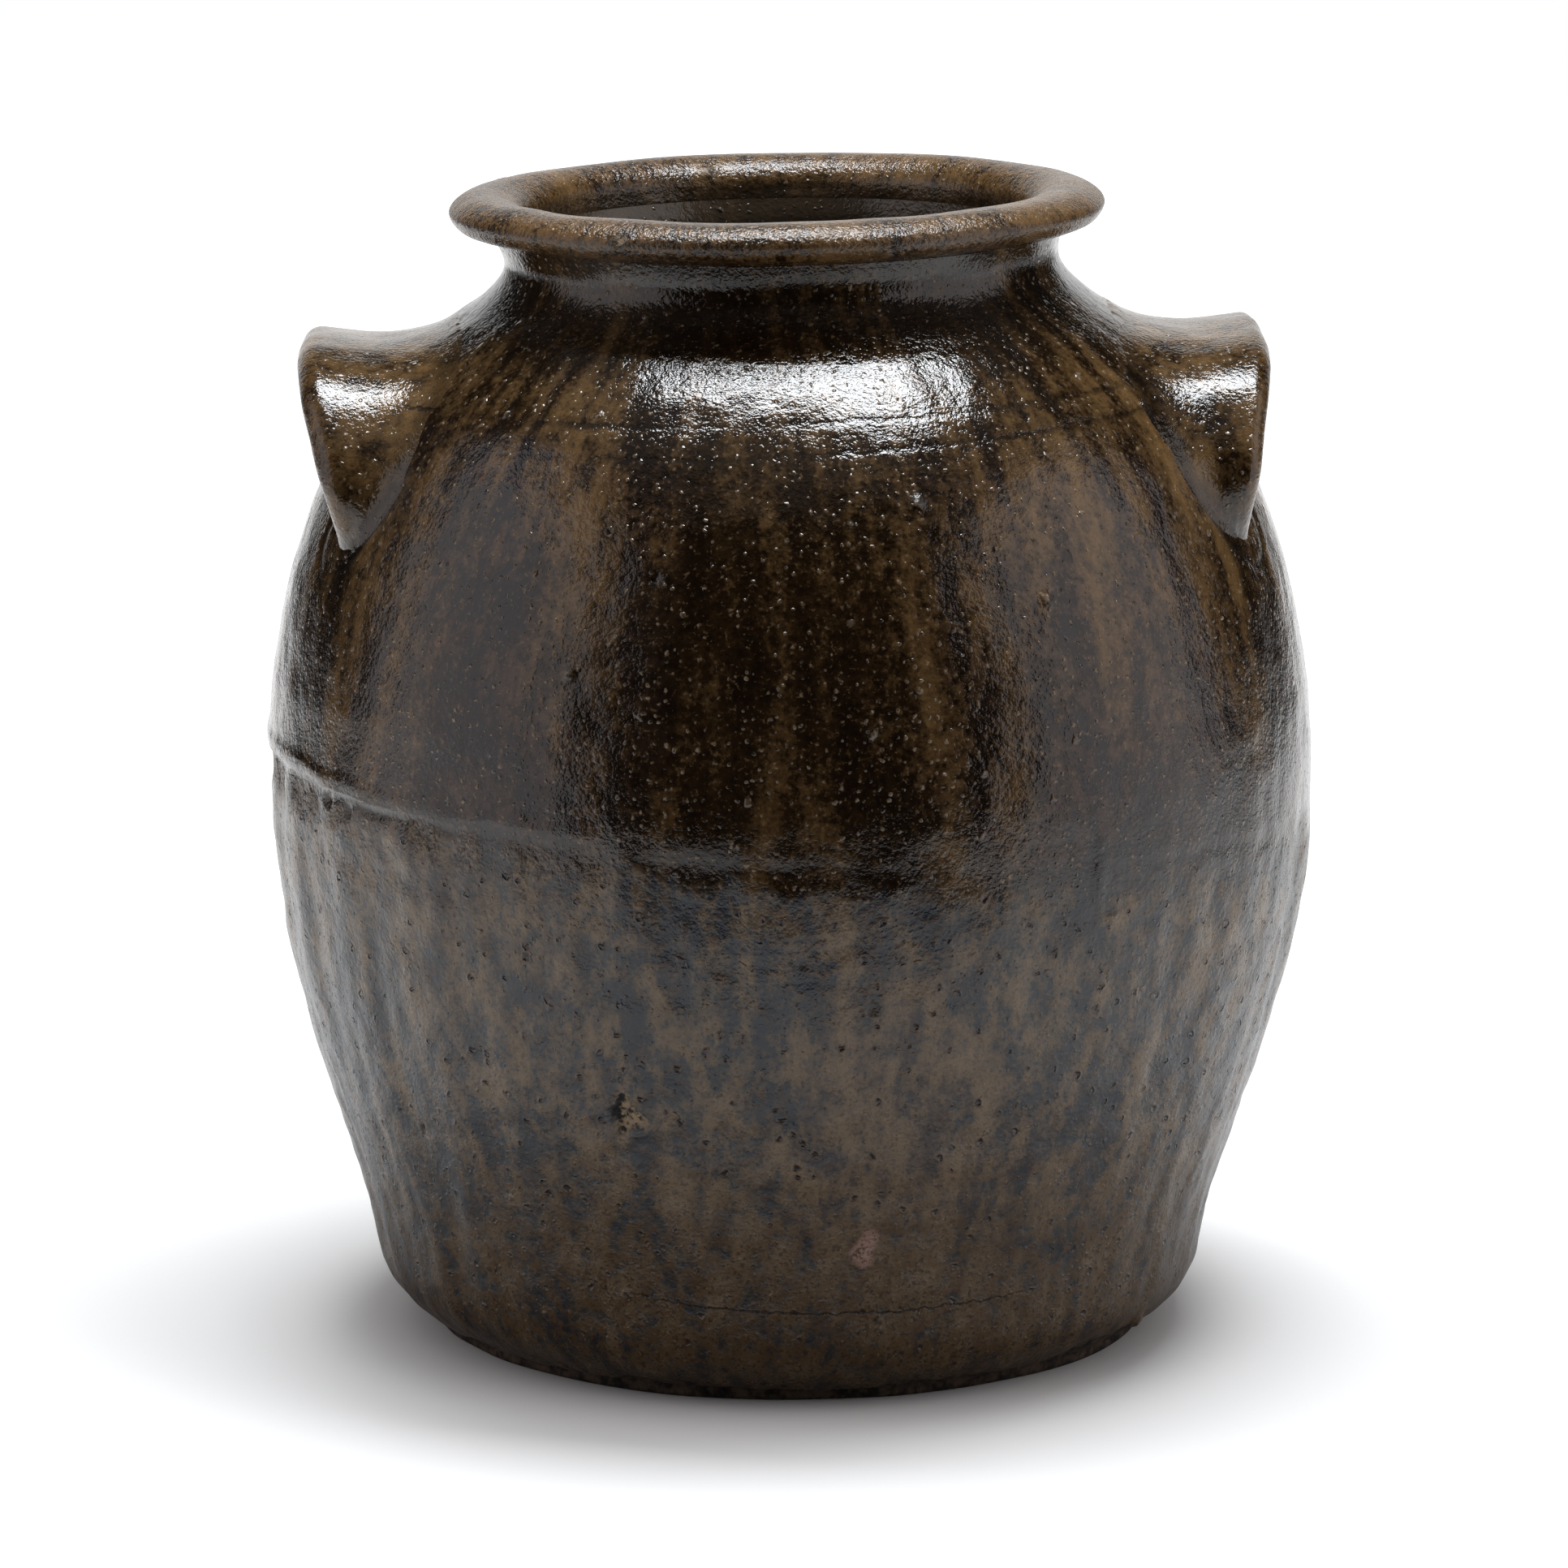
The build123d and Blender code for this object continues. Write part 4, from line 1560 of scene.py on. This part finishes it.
    def material(self) -> bpy.types.Material:
        """Build the glaze: veils of colour over dark glaze and over slate, relief, and dullness.

        Returns:
            The material.
        """
        finish = bpy.data.materials.new("runny_glaze")
        finish.use_nodes = True
        sheet = NodeSheet(finish.node_tree)
        layers, paints = self.layers(sheet), dict(vars(self))
        for name, ground, veil in self.mixed:
            paints[name] = layers.lay(veil, paints[ground], paints[veil.colour])
        upper, lower = self.dark, self.slate
        for veil in self.upper_veils:
            upper = layers.lay(veil, upper, paints[veil.colour])
        for veil in self.lower_veils:
            lower = layers.lay(veil, lower, paints[veil.colour])
        colour = sheet.blend(layers["low"], upper, lower)
        for veil in self.last_veils:
            colour = layers.lay(veil, colour, paints[veil.colour])
        inputs = {"Height": layers.total(self.bumps), "Distance": MM, "Strength": 1.0}
        bump = sheet.add("ShaderNodeBump", {}, inputs)
        shader = sheet.add("ShaderNodeBsdfPrincipled", {}, {
            "Base Color": colour, "IOR": self.ior, "Normal": bump.outputs["Normal"],
            "Roughness": (layers.total(self.dull) + self.gloss).most(self.glossiest).least(1.0),
        })
        sheet.add("ShaderNodeOutputMaterial", {}, {"Surface": shader.outputs[0]})
        return finish

    def layers(self, sheet: NodeSheet) -> Layers:
        """Add the noises, masks, grains and lines from which veils, relief and dullness are mixed.

        Args:
            sheet: Node tree of the finish.

        Returns:
            The layers by name.
        """
        place = sheet.add("ShaderNodeTexCoord").outputs["Object"]
        run = sheet.add("ShaderNodeAttribute", {"attribute_name": RUN}).outputs["Vector"]
        layers = Layers()
        for name, stretch, *sizes in self.noises:
            vector = sheet.vector("MULTIPLY", run, (1, 1, stretch)) if stretch else place
            layers[name] = Number(sheet, sheet.noise(vector, *sizes).outputs[0])
        for mask in MASKS:
            layers[mask] = sheet.number("ShaderNodeAttribute", {"attribute_name": mask}, {}, "Fac")
        low, warm, fine, stain = (layers[name] for name in ("low", "warm", "fine", "stain"))
        layers["grit"], halo = self.grit.masks(sheet, place)
        layers["stones"], _ = self.stones.masks(sheet, place)
        often = (low * (1 - self.pins_above) + self.pins_above) * (1 - self.pins_warm_loss * warm)
        pin, layers["ring"] = (mask * often for mask in self.pins.masks(sheet, place))
        by_halo, by_dust, by_stone = self.speckle
        specks = halo * self.glint.of(fine, 0.0, by_halo) + self.dust.of(fine, 0.0, by_dust)
        specks = specks + layers["stones"] * by_stone
        low_loss, inside_loss = self.speckle_losses
        layers["halo"], layers["pin"] = halo, pin
        layers["speckled"] = specks.least(1.0) * (1 - low_loss * low) * (1 - inside_loss * layers["inside"])
        # Pits, with painted shade in creases and joints
        layers["pooled_and_shade"] = pin.most(layers["crease_shade_and_pooling"] * self.pooled_and_shade[0]).most(layers["rough"] * self.pooled_and_shade[1])
        layers["dusty"] = layers["bare"].most(stain * self.dusty)
        layers["crack"], cut = self.lines(sheet, place, layers["mottle"])
        layers["cut"] = cut * self.cut_breaks.of(layers["broad"], self.cut_share) * (1 - layers["worn"])
        # The hairline, and painted shade along the incised lines
        layers["crack_and_groove_shade"] = (layers["crack"] * self.crack_and_groove_shade[0]).most(layers["cut"] * self.crack_and_groove_shade[1])
        return layers

    def lines(self, sheet: NodeSheet, place: bpy.types.NodeSocket, mottle: Number) -> tuple[Number, Number]:
        """Mark the hairline above the foot, a shallow bow, and the two incised lines, which slope.

        Args:
            sheet: Node tree of the finish.
            place: Coordinates in metres.
            mottle: Noise that shifts the lines up and down.

        Returns:
            Masks of the hairline and of the incised lines, the latter carrying painted shade.
        """
        across, depth, height = (part / MM for part in sheet.split(place))
        bow = (across - self.crack_middle) ** 2 * self.crack_bow + self.crack_height
        off = abs(height - (bow + (mottle - 0.5) * self.crack_wander))
        start, end = self.crack_ends
        crack = self.crack_edge.of(off) * start.of(across) * end.of(across) * self.crack_front.of(depth)
        offs = [
            abs(height - across * slope - middle + (mottle - 0.5) * self.cut_wander)
            for middle, slope in self.cut_lines
        ]
        cut = self.cut_edge.of(offs[0].least(offs[1]))
        return crack, cut * self.cut_reach.of((across**2 + depth**2) ** 0.5)


@dataclass(frozen=True)
class FloorPaper:
    """White paper sweep: it keeps the jar's soft shadow and fades into the white background.

    Its sizes are in metres, but for the grain's. The camera sees the paper fade to plain white, with a
    painted glow that lightens the jar's shadow a little way out. The jar sees the paper glow at both
    sides, a painted light, and darker close by and far in front, painted shadow and painted shade.
    """

    white: Colour = (0.82, 0.82, 0.82, 1)
    grain: float = 0.98
    grain_size: float = 2.0
    # Painted glow mixed in where the camera sees the jar's shadow, to lighten it
    shadow_glow_from: Ramp = Ramp(0.09, 0.14)
    lift: float = 0.19
    fade: Ramp = Ramp(0.17, 0.62)
    glow: float = 1.5
    # Painted glow at both sides, seen only by the jar
    side_glow: float = 0.9
    side_glow_from: Ramp = Ramp(0.14, 0.40)
    side_glow_to: Ramp = Ramp(0.95, 0.60)
    # Painted shadow close to the jar and painted shade far in front, seen only by the jar
    dim: float = 0.45
    near_shadow_to: Ramp = Ramp(0.30, 0.15)
    front_shade: float = 0.50
    front_shade_from: Ramp = Ramp(-0.30, -0.60)
    rough: float = 0.7
    half_width: float = 3.0
    front: float = -0.64
    back: float = 3.0
    gap: float = 0.0002

    def build(self) -> bpy.types.Object:
        """Lay the paper under the jar.

        Returns:
            The floor, which is not part of the object.
        """
        wide = self.half_width
        corners = [(-wide, self.front), (wide, self.front), (wide, self.back), (-wide, self.back)]
        mesh = bpy.data.meshes.new("paper_sweep")
        mesh.from_pydata([(*corner, -self.gap) for corner in corners], [], [(0, 1, 2, 3)])
        paper = bpy.data.objects.new("paper_sweep", mesh)
        bpy.context.scene.collection.objects.link(paper)
        mesh.materials.append(self.material())
        return paper

    def material(self) -> bpy.types.Material:
        """Build the paper: matt white near the jar, and plain white to the camera far from it.

        Returns:
            The material.
        """
        finish = bpy.data.materials.new("white_paper")
        finish.use_nodes = True
        sheet = NodeSheet(finish.node_tree)
        place = sheet.add("ShaderNodeTexCoord").outputs["Object"]
        away = sheet.number("ShaderNodeVectorMath", {"operation": "LENGTH"}, {0: place}, "Value")
        across, along, _ = sheet.split(place)
        seen = sheet.number("ShaderNodeLightPath", {}, {}, "Is Camera Ray")
        # To the camera: painted glow lightening the shadow, then plain white far off
        fade = self.shadow_glow_from.of(away, 0.0, self.lift) + self.fade.of(away, 0.0, 1 - self.lift)
        # Painted glow at both sides, lighting and showing in the jar only
        side_glow_share = self.side_glow_from.of(abs(across)) * self.side_glow_to.of(abs(across), 0.0, self.side_glow)
        fade = fade * seen + side_glow_share * (1 - seen)
        # Painted shadow near the jar and painted shade far in front, darkening the paper only for the jar
        dim, front = self.near_shadow_to.of(away, 0.0, self.dim), self.front_shade_from.of(along, 0.0, self.front_shade)
        under = dim.most(front) * (1 - seen)
        grain = Number(sheet, sheet.noise(place, self.grain_size, 2.0).outputs[0])
        tone = sheet.blend(grain, self.white, tuple(self.grain * part for part in self.white[:3]) + (1,))
        tone = sheet.blend(under, tone, (0, 0, 0, 1))
        matt = sheet.add("ShaderNodeBsdfPrincipled", {}, {"Base Color": tone, "Roughness": self.rough})
        white = sheet.add("ShaderNodeEmission", {}, {"Color": (1, 1, 1, 1), "Strength": self.glow})
        mixed = sheet.add("ShaderNodeMixShader", {}, {0: fade, 1: matt.outputs[0], 2: white.outputs[0]})
        sheet.add("ShaderNodeOutputMaterial", {}, {"Surface": mixed.outputs[0]})
        return finish


@dataclass(frozen=True)
class SoftLamp:
    """A rectangular softbox, in metres, whose face shines with a given brightness."""

    name: str
    place: Place
    target: Place
    size: Point
    brightness: float
    tint: Place

    def build(self) -> bpy.types.Object:
        """Hang the lamp and aim it.

        Its power is brightness times its area times pi, because a matt face gives that.

        Returns:
            The lamp.
        """
        light = bpy.data.lights.new(self.name, "AREA")
        light.shape = "RECTANGLE"
        light.size, light.size_y = self.size
        light.energy = self.brightness * math.prod(self.size) * math.pi
        light.color = self.tint
        lamp = bpy.data.objects.new(self.name, light)
        bpy.context.scene.collection.objects.link(lamp)
        look = Vector(self.target) - Vector(self.place)
        lamp.location = self.place
        lamp.rotation_euler = look.to_track_quat("-Z", "Y").to_euler()
        lamp.visible_camera = False
        return lamp


@dataclass(frozen=True)
class Studio:
    """Camera, lamps, world and paper, as the photograph has them, in metres."""

    camera_place: Place = (-0.0015, -1.9215, 0.5386)
    pitch_degrees: float = 11.616
    lens: float = 167.73
    sensor: float = 36.0
    back_light: float = 1.0
    back_edge: Ramp = Ramp(0.86, 0.94)
    front_light: float = 0.02
    ceiling: float = 0.22
    ceiling_edge: Ramp = Ramp(0.68, 0.90)
    lamps: tuple[SoftLamp, ...] = (
        SoftLamp("overhead_box", (0.09, 0.14, 1.75), (0.05, 0.02, 0.2), (1.10, 0.58), 22.5, (0.94, 0.97, 1)),
        SoftLamp("left_panel", (-1.35, -0.55, 0.62), (0, -0.55, 0.62), (1.64, 1.7), 1.00, (1, 0.94, 0.95)),
        SoftLamp("right_panel", (1.35, -0.46, 0.62), (0, -0.46, 0.62), (1.47, 1.7), 1.12, (1, 0.94, 0.94)),
        SoftLamp("right_flag_gap", (1.35, -1.28, 1.25), (0, -1.28, 1.25), (0.26, 0.5), 1.12, (1, 0.94, 0.94)),
    )

    def build(self) -> None:
        """Set up everything round the jar."""
        for lamp in self.lamps:
            lamp.build()
        FloorPaper().build()
        self.world()
        self.camera()
        bpy.context.scene.view_settings.view_transform = "Standard"

    def camera(self) -> None:
        """Set the camera at the photograph's place, angle and lens."""
        lens = bpy.data.cameras.new("camera")
        lens.sensor_width, lens.lens = self.sensor, self.lens
        camera = bpy.data.objects.new("camera", lens)
        bpy.context.scene.collection.objects.link(camera)
        camera.location = self.camera_place
        camera.rotation_euler = (math.radians(90 - self.pitch_degrees), 0, 0)
        bpy.context.scene.camera = camera

    def world(self) -> None:
        """Light the room: white behind the jar, dim above and behind the camera, white to the camera."""
        world = bpy.data.worlds.new("studio")
        bpy.context.scene.world = world
        world.use_nodes = True
        sheet = NodeSheet(world.node_tree)
        _, behind, up = sheet.split(sheet.add("ShaderNodeTexCoord").outputs["Generated"])
        level = self.back_edge.of(behind, self.front_light, self.back_light)
        level = level + self.ceiling_edge.of(up, 0.0, self.ceiling)
        seen = sheet.number("ShaderNodeLightPath", {}, {}, "Is Camera Ray")
        strength = level + (1 - level) * seen
        light = sheet.add("ShaderNodeBackground", {}, {"Color": (1, 1, 1, 1), "Strength": strength})
        sheet.add("ShaderNodeOutputWorld", {}, {"Surface": light.outputs[0]})


def main() -> None:
    """Build the jar piece by piece, then the studio round it."""
    logging.basicConfig(level=logging.INFO, format="%(message)s")
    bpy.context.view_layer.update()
    glaze = RunnyGlaze().material()
    outside = Meridian.through(BodyForm().points())
    left = LugForm(
        Side.LEFT, reach=130.2, crown_height=266.7, lift_degrees=5.2, draw=12.0, edge_round=5.2,
        draws=(0, 0.04, 0.14, 0.36, 0.64, 0.85, 1),
    )
    right = LugForm(
        Side.RIGHT, reach=126.3, crown_height=269.0, lift_degrees=5.0, draw=15.0, edge_round=4.2,
        draws=(0, 0.04, 0.13, 0.24, 0.36, 0.46, 0.55),
    )
    lugs = (LugHandle(left, outside), LugHandle(right, outside))
    body = JarBody(ThrownSurface(), lugs)
    top = NeckAndRim(body, NeckForm())
    for piece in (body.floor(), body.lower(), body.upper(), top.neck(), top.rim()):
        piece.build(glaze)
    for lug in lugs:
        lug.build().build(glaze)
    Studio().build()


if __name__ == "__main__":
    main()
